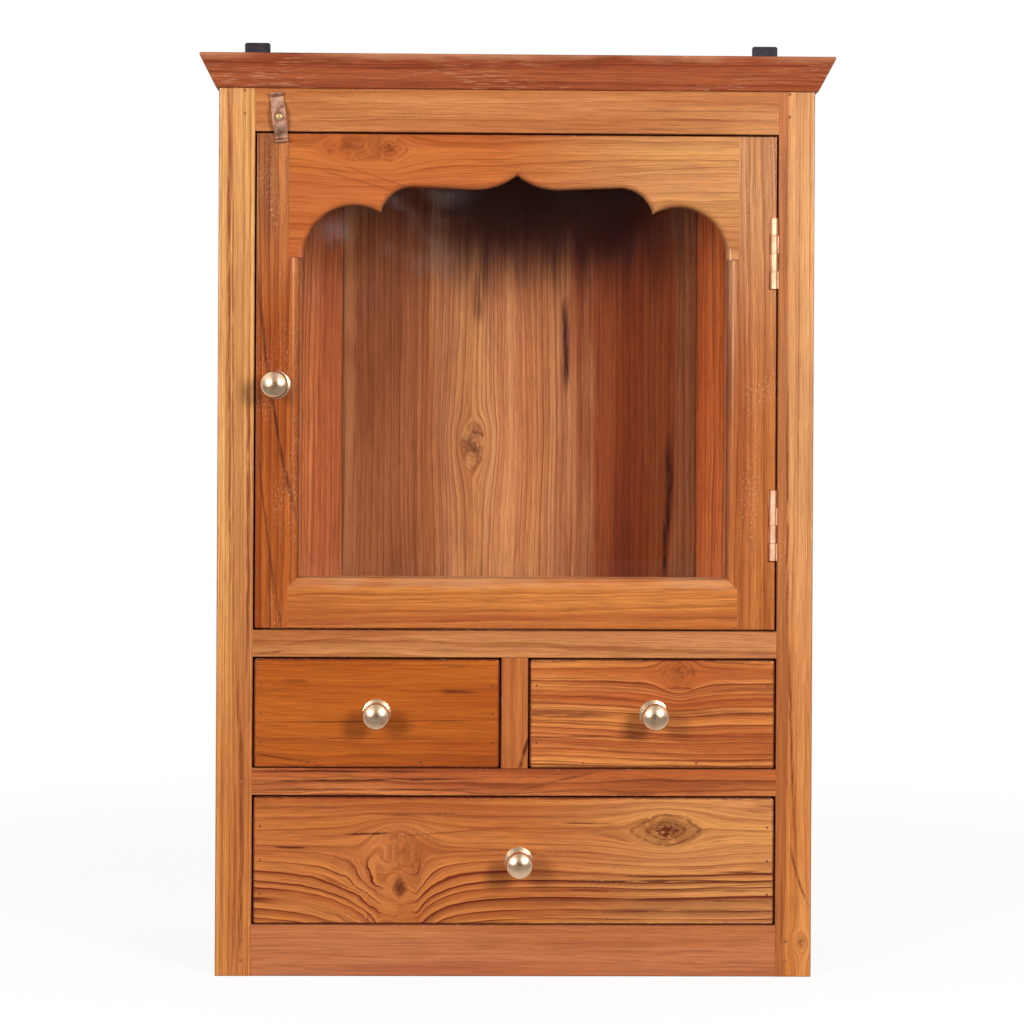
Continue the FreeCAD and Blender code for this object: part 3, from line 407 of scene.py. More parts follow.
def teak(
    name, nodes, grain, light, dark, line, seed, ring=0.008, strength=0.5, waves=0.012, heart=(0.3, 0.05),
    taper=0.0, pores=0.5, flecks=0.0, dashes=0.0, hairs=0.25, mark=(84, 34, 14), fan=None, calm=None,
    knots=(), streaks=(), bands=(), band_tone=(150, 72, 38), edge=(0.0011, 0.5), wear=0.2, painted_sheen=None,
    haze_tone=(236, 188, 150), rub_and_highlight=None, painted_shade=None, inside=None, lacquer=0.35, matt=0.0,
):
    """A teak board's material, given to the named nodes, with lengths in metres.
    grain is the order of the axes: along the grain, across the board and through it.
    heart is the middle of the log, across and through.
    fan is (along, half, left drop, left reach, right drop, right reach, eye, top).
    calm is (low, high, share), where the rings fade out across the board.
    A knot is (along, across, radius, stretch, heart, stain).
    A streak is (start, end, across, slope, curve, width, strength).
    A band is (low, high, soft, strength), of a deeper colour across the board.
    edge is the width and strength of the dirt along the edges, and wear how far they are chipped.
    painted_sheen is (low, high, share), where the board turns paler along its length as a painted sheen.
    rub_and_highlight is (low, high, strength, patches): past a line across the board the wood turns pale,
    partly worn finish and partly a painted highlight, with worn patches.
    painted_shade is (low, high, share, middle, near, far), a painted shadow on the face along the board
    about a middle line.
    inside is where the face lies that looks into the cabinet, which is darkened as painted shade.
    matt is how much rougher the board is than a finished front."""
    material = bpy.data.materials.new(name)
    material.use_nodes = True
    tree = material.node_tree
    finish = tree.nodes["Principled BSDF"]
    point = parts_of(tree, tree.nodes.new("ShaderNodeTexCoord").outputs["Object"])
    order = ["xyz".index(axis) for axis in grain]
    along, across, through = [point[axis] for axis in order]
    place = place_of(tree, along, across, through)
    corners = [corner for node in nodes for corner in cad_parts[node].bound_box]
    low = [min(corner[axis] for corner in corners) for axis in order]
    high = [max(corner[axis] for corner in corners) for axis in order]
    edge_width, edge_strength = edge
    edges = use(
        tree, teak_edge, Place=place, Low=low, High=high, Width=edge_width, Strength=edge_strength,
        Wear=wear,
    )
    marks = 0.0
    # Painted shade: the face that looks into the cabinet is darkened towards the mark colour.
    if inside:
        inner_shade_share = 0.6
        inner_shade_end = inside + 0.0006
        outwards = calc(tree, "ABSOLUTE", point[0])
        marks = calc(tree, "SUBTRACT", inner_shade_share, rise(tree, outwards, inside, inner_shade_end, inner_shade_share))
    # Painted shadow: the front face turns dark along the board past a ragged line, near a middle line
    # across it.
    if painted_shade:
        shade_low, shade_high, shade_share, middle, near, far = painted_shade
        ragged = 0.10
        shade_noise = grainy(tree, place, (6.0, 75.0, 60.0), seed, 3.0)
        height = calc(tree, "MULTIPLY_ADD", shade_noise, ragged, calc(tree, "SUBTRACT", along, ragged / 2))
        marks = rise(tree, height, shade_low, shade_high, shade_share)
        aside = calc(tree, "ABSOLUTE", calc(tree, "SUBTRACT", across, middle))
        marks = calc(tree, "MULTIPLY", marks, fall(tree, aside, near, far))
        skin_start, skin_end = low[2] + 0.0003, low[2] + 0.0008
        marks = calc(tree, "MULTIPLY", marks, fall(tree, through, skin_start, skin_end))
    for number, (start, end, over, slope, curve, width, depth) in enumerate(streaks):
        marks = use(
            tree, teak_streak, Place=place, Mark=marks, Across=over, Slope=slope, Curve=curve,
            Width=width, Strength=depth, Start=start, End=end, Seed=seed + 5.0 * number,
        )["Mark"]
    light, dark = tone(*light), tone(*dark)
    # Painted sheen: the board turns paler along its length, where light would glance off its finish.
    if painted_sheen:
        sheen_low, sheen_high, sheen_share = painted_sheen
        sheen_dark = [0.9 * value for value in haze_tone]
        sheen_mask = rise(tree, along, sheen_low, sheen_high, sheen_share)
        light = blend_colour(tree, sheen_mask, light, tone(*haze_tone))
        dark = blend_colour(tree, sheen_mask, dark, tone(*sheen_dark))
    deep = 0.0
    for band_low, band_high, soft, depth in bands:
        deep = use(
            tree, teak_band, Place=place, Share=deep, Low=band_low, High=band_high, Soft=soft,
            Strength=depth,
        )["Share"]
    if bands:
        band_dark = [0.84 * value for value in band_tone]
        light = blend_colour(tree, deep, light, tone(*band_tone))
        dark = blend_colour(tree, deep, dark, tone(*band_dark))
    bold = strength
    if calm:
        calm_low, calm_high, calm_share = calm
        quiet = rise(tree, across, calm_low, calm_high, calm_share * strength)
        bold = calc(tree, "SUBTRACT", strength, quiet)
    pale = 0.0
    # Pale past a line across the board, partly worn finish and partly a painted highlight along an edge.
    if rub_and_highlight:
        pale_low, pale_high, pale_strength, patches = rub_and_highlight
        pale = use(
            tree, teak_rub_and_highlight, Place=place, Low=pale_low, High=pale_high, Strength=pale_strength,
            Patches=patches, Seed=seed,
        )["Pale"]
    for number, (at, over, size, stretch, core, stain) in enumerate(knots):
        out = use(
            tree, teak_knot, Place=place, Mark=marks, Along=at, Across=over, Radius=size,
            Stretch=stretch, Heart=core, Stain=stain, Seed=seed + number,
        )
        place, marks = out["Place"], out["Mark"]
    if fan:
        names = ("Along", "Half", "Left_Drop", "Left_Reach", "Right_Drop", "Right_Reach", "Eye", "Top")
        out = use(tree, teak_fan, Place=place, **dict(zip(names, fan)))
        place = out["Place"]
        bold = calc(tree, "MULTIPLY", bold, calc(tree, "MULTIPLY_ADD", out["Plain"], -0.9, 1.0))
    heart_across, heart_depth = heart
    out = use(
        tree, teak_figure, Place=place, Seed=seed, Light=light, Dark=dark, Line=tone(*line),
        Ring_Width=ring, Ring_Strength=bold, Waves=waves, Heart_Across=heart_across,
        Heart_Depth=heart_depth, Taper=taper, Pores=pores, Flecks=flecks, Dashes=dashes, Hairs=hairs,
        Haze=pale, Haze_Colour=tone(*haze_tone), Mark=calc(tree, "MAXIMUM", marks, edges["Mark"]),
        Mark_Colour=tone(*mark), Chips=edges["Chips"],
    )
    put(tree, out["Colour"], finish.inputs["Base Color"])
    put(tree, calc(tree, "ADD", out["Roughness"], matt), finish.inputs["Roughness"])
    finish.inputs["Specular IOR Level"].default_value = 0.1
    finish.inputs["Coat Weight"].default_value = lacquer
    finish.inputs["Coat Roughness"].default_value = 0.2
    bump = tree.nodes.new("ShaderNodeBump")
    bump.inputs["Strength"].default_value = 0.35
    bump.inputs["Distance"].default_value = 0.0003
    put(tree, out["Height"], bump.inputs["Height"])
    put(tree, bump.outputs["Normal"], finish.inputs["Normal"])
    for node in nodes:
        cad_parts[node].material_slots[0].material = material


skin = 0.0002
inner_face = min(corner[0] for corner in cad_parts["right_side"].bound_box) + skin
# Painted shade darkens the faces of the sides that look into the cabinet.
teak(
    "teak_left_side", ["left_side"], "zyx", light=(196, 122, 68), dark=(166, 88, 44),
    line=(122, 60, 28), seed=3.0, ring=0.011, strength=0.5, heart=(0.02, -0.28), taper=0.05, waves=0.03,
    inside=inner_face, lacquer=0.15, matt=0.12,
)
teak(
    "teak_right_side", ["right_side"], "zyx", light=(192, 118, 66), dark=(160, 84, 42),
    line=(118, 58, 28), seed=9.0, ring=0.010, strength=0.5, heart=(0.03, 0.27), taper=-0.04, waves=0.03,
    inside=inner_face, lacquer=0.15, matt=0.12,
)
teak(
    "teak_top_board", ["top_board"], "xyz", light=(188, 114, 66), dark=(158, 84, 44), line=(116, 58, 28),
    seed=14.0, ring=0.012, strength=0.5, heart=(0.01, 0.58), taper=0.04, waves=0.03,
    lacquer=0.0, matt=0.3,
)
# The boards inside the cabinet are coloured darker than the rest as painted shade.
teak(
    "teak_inner_boards",
    ["bottom_board", "drawer_shelf", "display_floor", "drawer_partition", "drawer_guides", "door_stop"],
    "xyz", light=(126, 72, 42), dark=(100, 54, 30), line=(78, 38, 20), seed=21.0, ring=0.010,
    strength=0.4, heart=(0.2, 0.0), waves=0.02, lacquer=0.0, matt=0.3,
)

# Back: three upright planks between the sides, seen through the glass. The middle plank is the widest
# and laps behind the other two; it carries a small knot and a few dark mineral streaks, and its top
# is darkened by a painted shadow of the arch.
teak(
    "teak_back_left", ["back_plank_left"], "zxy", light=(206, 117, 70), dark=(180, 94, 52),
    line=(108, 42, 16), seed=33.0, ring=0.0055, strength=0.7, heart=(-0.5, 0.1), waves=0.010,
    hairs=0.5, mark=(50, 18, 10), wear=0.0, lacquer=0.1, matt=0.2,
)
teak(
    "teak_back_centre", ["back_plank_centre"], "zxy", light=(186, 122, 77), dark=(158, 93, 54),
    line=(92, 38, 15), seed=41.0, ring=0.0048, strength=0.7, heart=(-0.5, 0.05), waves=0.010,
    mark=(60, 15, 8), hairs=0.5, wear=0.0, lacquer=0.1, matt=0.2,
    # Painted shadow of the arch across the top middle of the plank.
    painted_shade=(0.488, 0.552, 0.95, 0.030, 0.055, 0.130),
    knots=[(0.379, -0.029, 0.0095, 1.9, 0.7, 0.25)],
    streaks=[
        (0.415, 0.505, 0.0435, 0.0, 0.0, 0.0044, 1.8),
        (0.47, 0.53, -0.0264, 0.0, 0.0, 0.007, 0.6),
        (0.29, 0.40, 0.1240, 0.02, 0.0, 0.0042, 1.6),
        (0.27, 0.33, 0.1215, 0.02, 0.0, 0.0030, 1.3),
    ],
    bands=[
        (-0.14, -0.042, 0.022, 0.5), (0.043, 0.110, 0.030, 0.9), (0.065, 0.137, 0.012, 0.9),
        (0.070, 0.12, 0.02, 1.2), (0.11, 0.18, 0.01, 0.5),
    ],
    band_tone=(146, 61, 20), rub_and_highlight=(-0.1200, -0.1230, 0.2, 0.0), haze_tone=(226, 158, 100),
)
teak(
    "teak_back_right", ["back_plank_right"], "zxy", light=(230, 124, 66), dark=(202, 98, 47),
    line=(118, 44, 16), seed=52.0, ring=0.006, strength=0.65, heart=(0.5, 0.1), waves=0.010,
    hairs=0.5, mark=(50, 18, 10), wear=0.0, lacquer=0.1, matt=0.2,
)


# Hangers: two straps of black iron, let in flush with the back and screwed to the edges of the sides.
# The metal is forged and painted, with a slightly uneven surface and clouds of wear.
def metal(name, nodes, colour, worn, seed, roughness, uneven, scratch, bump_depth, metallic=1.0):
    """A metal finish with clouds of tarnish and fine scratches, given to the named nodes."""
    material = bpy.data.materials.new(name)
    material.use_nodes = True
    tree = material.node_tree
    finish = tree.nodes["Principled BSDF"]
    place = tree.nodes.new("ShaderNodeTexCoord").outputs["Object"]
    cloud = grainy(tree, place, (160.0, 160.0, 160.0), seed, 3.0)
    grain = grainy(tree, place, (900.0, 900.0, 5200.0), seed, 2.0)
    tarnish = rise(tree, cloud, 0.38, 0.68)
    put(tree, blend_colour(tree, tarnish, tone(*colour), tone(*worn)), finish.inputs["Base Color"])
    rough = calc(tree, "MULTIPLY_ADD", cloud, uneven, roughness - 0.5 * uneven)
    put(tree, calc(tree, "MULTIPLY_ADD", grain, scratch, rough), finish.inputs["Roughness"])
    finish.inputs["Metallic"].default_value = metallic
    bump = tree.nodes.new("ShaderNodeBump")
    bump.inputs["Strength"].default_value = 0.3
    bump.inputs["Distance"].default_value = bump_depth
    put(tree, calc(tree, "MULTIPLY_ADD", grain, 0.4, cloud), bump.inputs["Height"])
    put(tree, bump.outputs["Normal"], finish.inputs["Normal"])
    for node in nodes:
        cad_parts[node].material_slots[0].material = material


metal(
    "black_iron", ["left_hanger", "right_hanger", "hanger_screws"], (33, 27, 35), (50, 43, 50), 4.0,
    roughness=0.5, uneven=0.2, scratch=0.08, bump_depth=0.0004, metallic=0.6,
)

# Face frame: two stiles the full height, four rails tenoned into them and a short divider between
# the small drawers. Each board was cut from a different part of the log, so each has its own figure.
# Several boards here and below turn paler along their length with a painted sheen.
teak(
    "teak_frame_left_stile", ["frame_left_stile"], "zxy", light=(224, 146, 76), dark=(194, 111, 55),
    line=(150, 76, 34), seed=61.0, ring=0.0055, strength=0.7, heart=(-0.6, 0.1), waves=0.004, pores=0.45,
    hairs=0.5, mark=(132, 60, 26), painted_sheen=(0.05, 0.42, 0.55), haze_tone=(246, 188, 122),
    streaks=[
        (0.20, 0.72, -0.2040, -0.0066, 0.0, 0.0017, 0.9),
        (0.10, 0.72, -0.2008, -0.0066, 0.0, 0.0012, 0.75),
        (0.18, 0.47, -0.1919, 0.0, 0.0, 0.0020, 0.9),
        (0.24, 0.66, -0.1880, 0.0, 0.0, 0.0011, 0.6),
        (0.02, 0.62, -0.2078, 0.0, 0.0, 0.0009, 0.5),
        (-0.03, 0.26, -0.1996, 0.0696, -0.274, 0.0020, 0.95),
        (-0.03, 0.16, -0.2040, 0.07, -0.30, 0.0011, 0.75),
    ],
)
teak(
    "teak_frame_right_stile", ["frame_right_stile"], "zxy", light=(230, 149, 80), dark=(204, 117, 55),
    line=(156, 80, 36), seed=67.0, ring=0.007, strength=0.7, heart=(0.6, 0.1), waves=0.006, pores=0.45,
    hairs=0.5, mark=(132, 60, 26), painted_sheen=(0.05, 0.42, 0.50), haze_tone=(244, 190, 128), flecks=0.3,
    bands=[(0.180, 0.1965, 0.0032, 0.75)], band_tone=(194, 108, 52),
    knots=[(0.0249, 0.2066, 0.0048, 1.6, 0.7, 0.2)],
    streaks=[
        (0.49, 0.62, 0.1930, 0.0, 0.0, 0.0030, 0.6),
        (0.20, 0.46, 0.1954, 0.0, 0.0, 0.0016, 0.9),
        (0.07, 0.27, 0.2031, -0.039, 0.0, 0.0018, 0.95),
        (0.25, 0.64, 0.2030, 0.0, 0.0, 0.0009, 0.5),
        (0.045, 0.10, 0.2145, -0.45, 2.5, 0.0015, 0.9),
        (0.015, 0.075, 0.1925, 0.0, 0.0, 0.0014, 0.55),
    ],
)
teak(
    "teak_frame_top_rail", ["frame_top_rail"], "xzy", light=(208, 136, 82), dark=(186, 110, 59),
    line=(140, 66, 28), seed=72.0, ring=0.006, strength=0.45, hairs=0.4, heart=(0.5, 0.1), waves=0.010,
    flecks=0.25, painted_sheen=(0.0, 0.16, 0.25), haze_tone=(226, 160, 92),
    streaks=[(0.05, 0.21, 0.6217, 0.0, 0.0, 0.0010, 0.4), (0.09, 0.20, 0.6155, 0.0, 0.0, 0.0012, 0.35)],
)
teak(
    "teak_frame_upper_rail", ["frame_upper_rail"], "xzy", light=(208, 136, 84), dark=(181, 105, 57),
    line=(130, 62, 27), seed=77.0, ring=0.006, strength=0.55, hairs=0.4,
    mark=(120, 56, 26), heart=(0.12, 0.1), waves=0.010,
    streaks=[
        (-0.10, 0.21, 0.2365, 0.0, 0.0, 0.0008, 0.45),
        (-0.19, -0.163, 0.2300, 0.12, 0.0, 0.0015, 0.75),
        (-0.19, -0.08, 0.2318, 0.24, -1.2, 0.0008, 0.45),
    ],
)
teak(
    "teak_frame_lower_rail", ["frame_lower_rail"], "xzy", light=(216, 128, 71), dark=(186, 95, 49),
    line=(108, 44, 18), seed=83.0, ring=0.0055, strength=1.2, hairs=0.5, heart=(0.04, 0.1), waves=0.014,
    streaks=[
        (-0.21, -0.04, 0.1467, 0.0, 0.0, 0.0014, 0.9),
        (-0.21, -0.01, 0.1397, 0.01, 0.0, 0.0018, 1.0),
        (-0.21, 0.01, 0.1338, 0.0, 0.0, 0.0012, 0.85),
        (-0.005, 0.07, 0.1320, 0.23, 0.0, 0.0015, 0.6),
        (0.05, 0.21, 0.1385, 0.0, 0.0, 0.0060, 0.3),
    ],
)
teak(
    "teak_frame_bottom_rail", ["frame_bottom_rail"], "xzy", light=(205, 125, 78), dark=(186, 103, 60),
    line=(150, 76, 42), seed=88.0, ring=0.008, strength=0.35, hairs=0.4, heart=(0.4, 0.1), waves=0.008,
    pores=0.35, dashes=0.25,
)
teak(
    "teak_frame_divider", ["frame_divider"], "zxy", light=(199, 116, 58), dark=(172, 88, 40),
    line=(126, 60, 24), seed=94.0, ring=0.006, strength=0.55, heart=(0.3, 0.1), waves=0.005,
    streaks=[(0.143, 0.178, 0.0018, 0.30, 0.0, 0.0024, 1.0)],
)
teak(
    "pin_end_grain", ["frame_pins"], "yxz", light=(190, 122, 74), dark=(156, 92, 54), line=(108, 60, 36),
    seed=97.0, ring=0.0008, strength=0.6, heart=(0.0, 0.0), waves=0.001, pores=0.6, edge=(0.0001, 0.0),
)

# Cornice: a slanted moulding along the front and both sides, mitred at the front corners, of a
# darker redder board. Its finish is rubbed through to paler wood in patches, and the pale band along
# its top is partly rubbed finish and partly a painted highlight.
teak(
    "teak_cornice", ["cornice_front"], "xzy", light=(172, 88, 54), dark=(144, 64, 34), line=(100, 40, 18),
    seed=101.0, ring=0.007, strength=0.75, heart=(0.4, 0.1), waves=0.010, dashes=0.4, hairs=0.6,
    rub_and_highlight=(0.6535, 0.6580, 0.5, 0.55), haze_tone=(214, 148, 106), lacquer=0.2, matt=0.12,
)
teak(
    "teak_cornice_returns", ["cornice_left", "cornice_right"], "yzx", light=(176, 90, 50),
    dark=(146, 64, 30), line=(104, 42, 18), seed=108.0, ring=0.007, strength=0.6, heart=(0.4, 0.1),
    waves=0.010, rub_and_highlight=(0.6530, 0.6575, 0.6, 0.7), haze_tone=(212, 144, 102), lacquer=0.1, matt=0.25,
)

# Hinges: two brass butt hinges let into the edge of the door and the stile, each of two leaves with
# knuckles on one pin, held by countersunk brass screws. Only the knuckles show when the door is shut.
metal(
    "hinge_brass",
    [
        "upper_hinge_frame_leaf", "lower_hinge_frame_leaf", "upper_hinge_door_leaf",
        "lower_hinge_door_leaf", "hinge_pins", "frame_hinge_screws", "door_hinge_screws",
    ],
    (232, 180, 146), (208, 154, 118), 7.0, roughness=0.46, uneven=0.12, scratch=0.06, bump_depth=0.0001,
)

# Turn catch: a wavy strip of old brass on one domed screw, turned by hand over the edge of the door.
# Years of handling left it brown in patches, and its screw is brighter.
metal(
    "catch_brass", ["turn_catch"], (226, 174, 146), (142, 96, 76), 12.0,
    roughness=0.36, uneven=0.25, scratch=0.05, bump_depth=0.0002,
)
metal(
    "catch_screw_brass", ["catch_screw"], (240, 206, 150), (210, 166, 112), 15.0,
    roughness=0.3, uneven=0.1, scratch=0.05, bump_depth=0.0001,
)

# Door: two stiles and two rails, tenoned and moulded along the inner edge, with a cusped arch sawn
# in the top rail. The boards differ: a dark left stile, a bright knotty top rail, a golden bottom rail.
teak(
    "teak_door_left_stile", ["door_left_stile"], "zxy", light=(190, 101, 38), dark=(156, 69, 19),
    line=(104, 40, 12), seed=113.0, ring=0.006, strength=0.8, heart=(-0.5, 0.1), waves=0.006, pores=0.6,
    hairs=0.5, flecks=0.45, painted_sheen=(0.44, 0.58, 0.24), haze_tone=(230, 170, 112),
    streaks=[
        (0.30, 0.53, -0.1500, -0.275, 0.5, 0.0020, 1.2),
        (0.25, 0.40, -0.1700, -0.12, 0.0, 0.0012, 0.7),
        (0.23, 0.33, -0.1640, -0.16, 0.0, 0.0010, 0.5),
        (0.51, 0.64, -0.1790, 0.0, 0.0, 0.0110, 0.3),
    ],
)
teak(
    "teak_door_right_stile", ["door_right_stile"], "zxy", light=(198, 116, 58), dark=(170, 88, 39),
    line=(116, 52, 20), seed=121.0, ring=0.0055, strength=0.65, heart=(0.6, 0.1), waves=0.010, hairs=0.45,
    flecks=0.5, painted_sheen=(0.38, 0.58, 0.34), haze_tone=(238, 186, 140),
)
teak(
    "teak_door_top_rail", ["door_top_rail"], "xzy", light=(197, 108, 54), dark=(177, 88, 39),
    line=(138, 60, 20), seed=127.0, ring=0.009, strength=0.55, heart=(0.2, 0.05), waves=0.02, pores=0.35,
    hairs=0.35, painted_sheen=(-0.03, 0.11, 0.46), haze_tone=(238, 182, 116), mark=(116, 46, 14),
    knots=[(-0.0915, 0.5935, 0.009, 1.3, 0.75, 0.2), (-0.119, 0.5950, 0.009, 2.2, 0.55, 0.25)],
    streaks=[
        (-0.15, -0.08, 0.5800, -0.28, 0.0, 0.0012, 0.45),
        (-0.13, -0.07, 0.5830, -0.34, 0.0, 0.0009, 0.4),
        (0.05, 0.16, 0.5760, 0.06, 0.0, 0.0009, 0.35),
    ],
)
teak(
    "teak_door_bottom_rail", ["door_bottom_rail"], "xzy", light=(210, 126, 64), dark=(184, 98, 46),
    line=(130, 60, 26), seed=133.0, ring=0.006, strength=0.6, heart=(0.7, 0.06), taper=0.02, waves=0.012,
    hairs=0.45, rub_and_highlight=(0.2765, 0.2800, 0.3, 0.0), haze_tone=(232, 182, 132),
)
teak(
    "teak_glazing_beads", ["glazing_beads"], "xzy", light=(222, 152, 108), dark=(196, 122, 80),
    line=(138, 70, 34), seed=138.0, ring=0.006, strength=0.4,
)

# Glass: one pane of clear sheet glass in the rebate, held by the beads. It is old and a little
# smeared, so its shine is not quite even, and a thin film of polish clouds it under the arch.
glass = bpy.data.materials.new("door_glass")
glass.use_nodes = True
tree = glass.node_tree
finish = tree.nodes["Principled BSDF"]
finish.inputs["Base Color"].default_value = (0.97, 0.985, 0.98, 1.0)
finish.inputs["Transmission Weight"].default_value = 1.0
finish.inputs["IOR"].default_value = 1.46
place = tree.nodes.new("ShaderNodeTexCoord").outputs["Object"]
smear = grainy(tree, place, (9.0, 9.0, 14.0), 3.0, 4.0)
put(tree, rise(tree, smear, 0.45, 0.75, 0.02), finish.inputs["Roughness"])
across, _, height = parts_of(tree, place)
cloudy = rise(tree, grainy(tree, place, (30.0, 1.0, 42.0), 12.0, 4.0), 0.42, 0.72, 0.5)
cloudy = calc(tree, "MULTIPLY", cloudy, rise(tree, height, 0.46, 0.55))
wiped = rise(tree, across, -0.065, -0.02, 0.92)
cloudy = calc(tree, "MULTIPLY", cloudy, calc(tree, "SUBTRACT", 1.0, wiped))
put(tree, cloudy, finish.inputs["Coat Weight"])
finish.inputs["Coat Roughness"].default_value = 0.55
clear = tree.nodes.new("ShaderNodeBsdfTransparent")
path = tree.nodes.new("ShaderNodeLightPath")
mixed = tree.nodes.new("ShaderNodeMixShader")
put(tree, path.outputs["Is Shadow Ray"], mixed.inputs[0])
put(tree, finish.outputs[0], mixed.inputs[1])
put(tree, clear.outputs[0], mixed.inputs[2])
put(tree, mixed.outputs[0], tree.nodes["Material Output"].inputs["Surface"])
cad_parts["glass_pane"].material_slots[0].material = glass

# Knobs: four turned brass knobs, each a domed head on a neck, with a flange against the wood and a
# stud into it. They are polished, with a pale gold colour and fine scratches.
metal(
    "knob_brass", ["door_knob", "left_drawer_knob", "right_drawer_knob", "large_drawer_knob"],
    (234, 199, 164), (216, 176, 139), 17.0, roughness=0.22, uneven=0.1, scratch=0.05, bump_depth=0.00008,
)

# Drawers: a rounded front nailed to two sides and a bottom, with a back between the sides. The left
# front is plain, the right one strongly banded, and the wide one fans out round a large knot.
teak(
    "teak_left_drawer_front", ["left_drawer_front"], "xzy", light=(190, 99, 32), dark=(171, 80, 22),
    line=(112, 42, 10), seed=143.0, ring=0.014, strength=0.3, heart=(0.02, 0.08), waves=0.02, pores=0.3,
    hairs=0.25, edge=(0.0022, 0.85), mark=(92, 32, 8),
    streaks=[
        (-0.17, -0.02, 0.2229, 0.0, 0.0, 0.0009, 0.5),
        (-0.20, 0.0, 0.1815, 0.012, 0.0, 0.0009, 0.7),
        (-0.20, -0.02, 0.1705, 0.0, 0.0, 0.0008, 0.5),
        (-0.170, -0.146, 0.2114, 0.0, 0.0, 0.0016, 0.55),
        (-0.056, -0.026, 0.2042, 0.0, 0.0, 0.0022, 0.75),
        (-0.195, -0.140, 0.1612, -0.20, 0.9, 0.0010, 0.75),
    ],
)
teak(
    "teak_right_drawer_front", ["right_drawer_front"], "xzy", light=(226, 140, 74), dark=(188, 97, 45),
    line=(104, 40, 14), seed=151.0, ring=0.0040, strength=0.85, heart=(0.0, 0.06), waves=0.009, hairs=0.6,
    edge=(0.0020, 0.85), mark=(86, 30, 10),
    knots=[(0.118, 0.2186, 0.011, 1.0, 0.5, 0.15)],
    streaks=[
        (-0.01, 0.08, 0.1880, 0.0, 0.0, 0.0032, 0.65),
        (0.10, 0.22, 0.1885, 0.0, 0.0, 0.0028, 0.55),
        (-0.01, 0.22, 0.1720, 0.0, 0.0, 0.0014, 0.6),
        (0.107, 0.130, 0.2064, 0.0, 0.0, 0.0016, 0.8),
    ],
)
teak(
    "teak_large_drawer_front", ["large_drawer_front"], "xzy", light=(212, 128, 64), dark=(186, 99, 46),
    line=(110, 38, 13), seed=158.0, ring=0.0062, strength=1.7, heart=(-0.2, 0.02), waves=0.006,
    pores=0.35, dashes=0.5, hairs=0.3, edge=(0.0020, 0.85), mark=(94, 31, 11), flecks=0.2,
    painted_sheen=(-0.02, 0.14, 0.48), haze_tone=(236, 168, 102),
    fan=(-0.0832, 0.0143, 0.0287, 0.030, 0.0190, 0.018, 0.066, 0.103), calm=(0.072, 0.088, 0.7),
    knots=[
        (-0.0818, 0.0639, 0.0085, 0.62, 0.9, 0.7), (-0.0818, 0.0865, 0.0075, 1.6, 0.4, 0.1),
        (0.1094, 0.1049, 0.0110, 2.2, 0.95, 0.15),
    ],
    streaks=[
        (0.00, 0.215, 0.0683, 0.0, 0.0, 0.0018, 0.95),
        (-0.03, 0.215, 0.0615, 0.0, 0.0, 0.0013, 0.75),
        (-0.03, 0.215, 0.0545, 0.0, 0.0, 0.0012, 0.65),
        (0.03, 0.22, 0.0470, 0.0, 0.0, 0.0026, 0.6),
        (0.14, 0.20, 0.0745, 0.05, -1.6, 0.0012, 0.8),
        (-0.125, -0.085, 0.1010, 0.06, 0.0, 0.0014, 1.2),
        (-0.175, -0.145, 0.0925, 0.0, 0.0, 0.0013, 1.0),
        (-0.125, -0.03, 0.1165, 0.0, 0.0, 0.0012, 0.55),
        (-0.20, -0.11, 0.1210, 0.0, 0.0, 0.0016, 0.5),
        (0.03, 0.075, 0.1100, 0.0, 0.0, 0.0008, 0.9),
        (-0.10, 0.01, 0.0990, 0.08, 0.0, 0.0007, 0.6),
    ],
)
for number, name in enumerate(("left_drawer", "right_drawer", "large_drawer")):
    teak(
        f"teak_{name}_sides", [f"{name}_sides"], "yzx", light=(196, 132, 84), dark=(170, 102, 60),
        line=(130, 72, 38), seed=163.0 + number, ring=0.008, strength=0.4, waves=0.012,
        lacquer=0.0, matt=0.3,
    )
    teak(
        f"teak_{name}_boards", [f"{name}_back", f"{name}_bottom"], "xyz", light=(194, 130, 82),
        dark=(168, 100, 58), line=(128, 70, 36), seed=173.0 + number, ring=0.009, strength=0.4,
        heart=(0.1, -0.1), waves=0.014, lacquer=0.0, matt=0.3,
    )
metal(
    "nail_steel", ["left_drawer_nails", "right_drawer_nails", "large_drawer_nails"],
    (128, 76, 48), (92, 52, 32), 23.0, roughness=0.55, uneven=0.2, scratch=0.1, bump_depth=0.0002,
    metallic=0.5,
)


# Studio: a white floor that keeps a soft shadow, and two soft lamps before the front, one on either
# side, a little above the cabinet's top. The room is bright behind the cabinet and overhead, and grey
# towards the camera.
def rays_of(tree):
    """Masks of the rays that see a surface straight or through glass, and of those that mirror it."""
    path = tree.nodes.new("ShaderNodeLightPath").outputs
    bounces = calc(tree, "ADD", path["Diffuse Depth"], path["Glossy Depth"])
    seen = calc(tree, "MAXIMUM", path["Is Camera Ray"], path["Is Transmission Ray"])
    seen = calc(tree, "MULTIPLY", seen, calc(tree, "LESS_THAN", bounces, 0.5))
    mirrored = calc(tree, "SUBTRACT", path["Is Glossy Ray"], path["Is Transmission Ray"])
    mirrored = calc(tree, "MULTIPLY", mirrored, calc(tree, "LESS_THAN", path["Diffuse Depth"], 0.5))
    return seen, mirrored


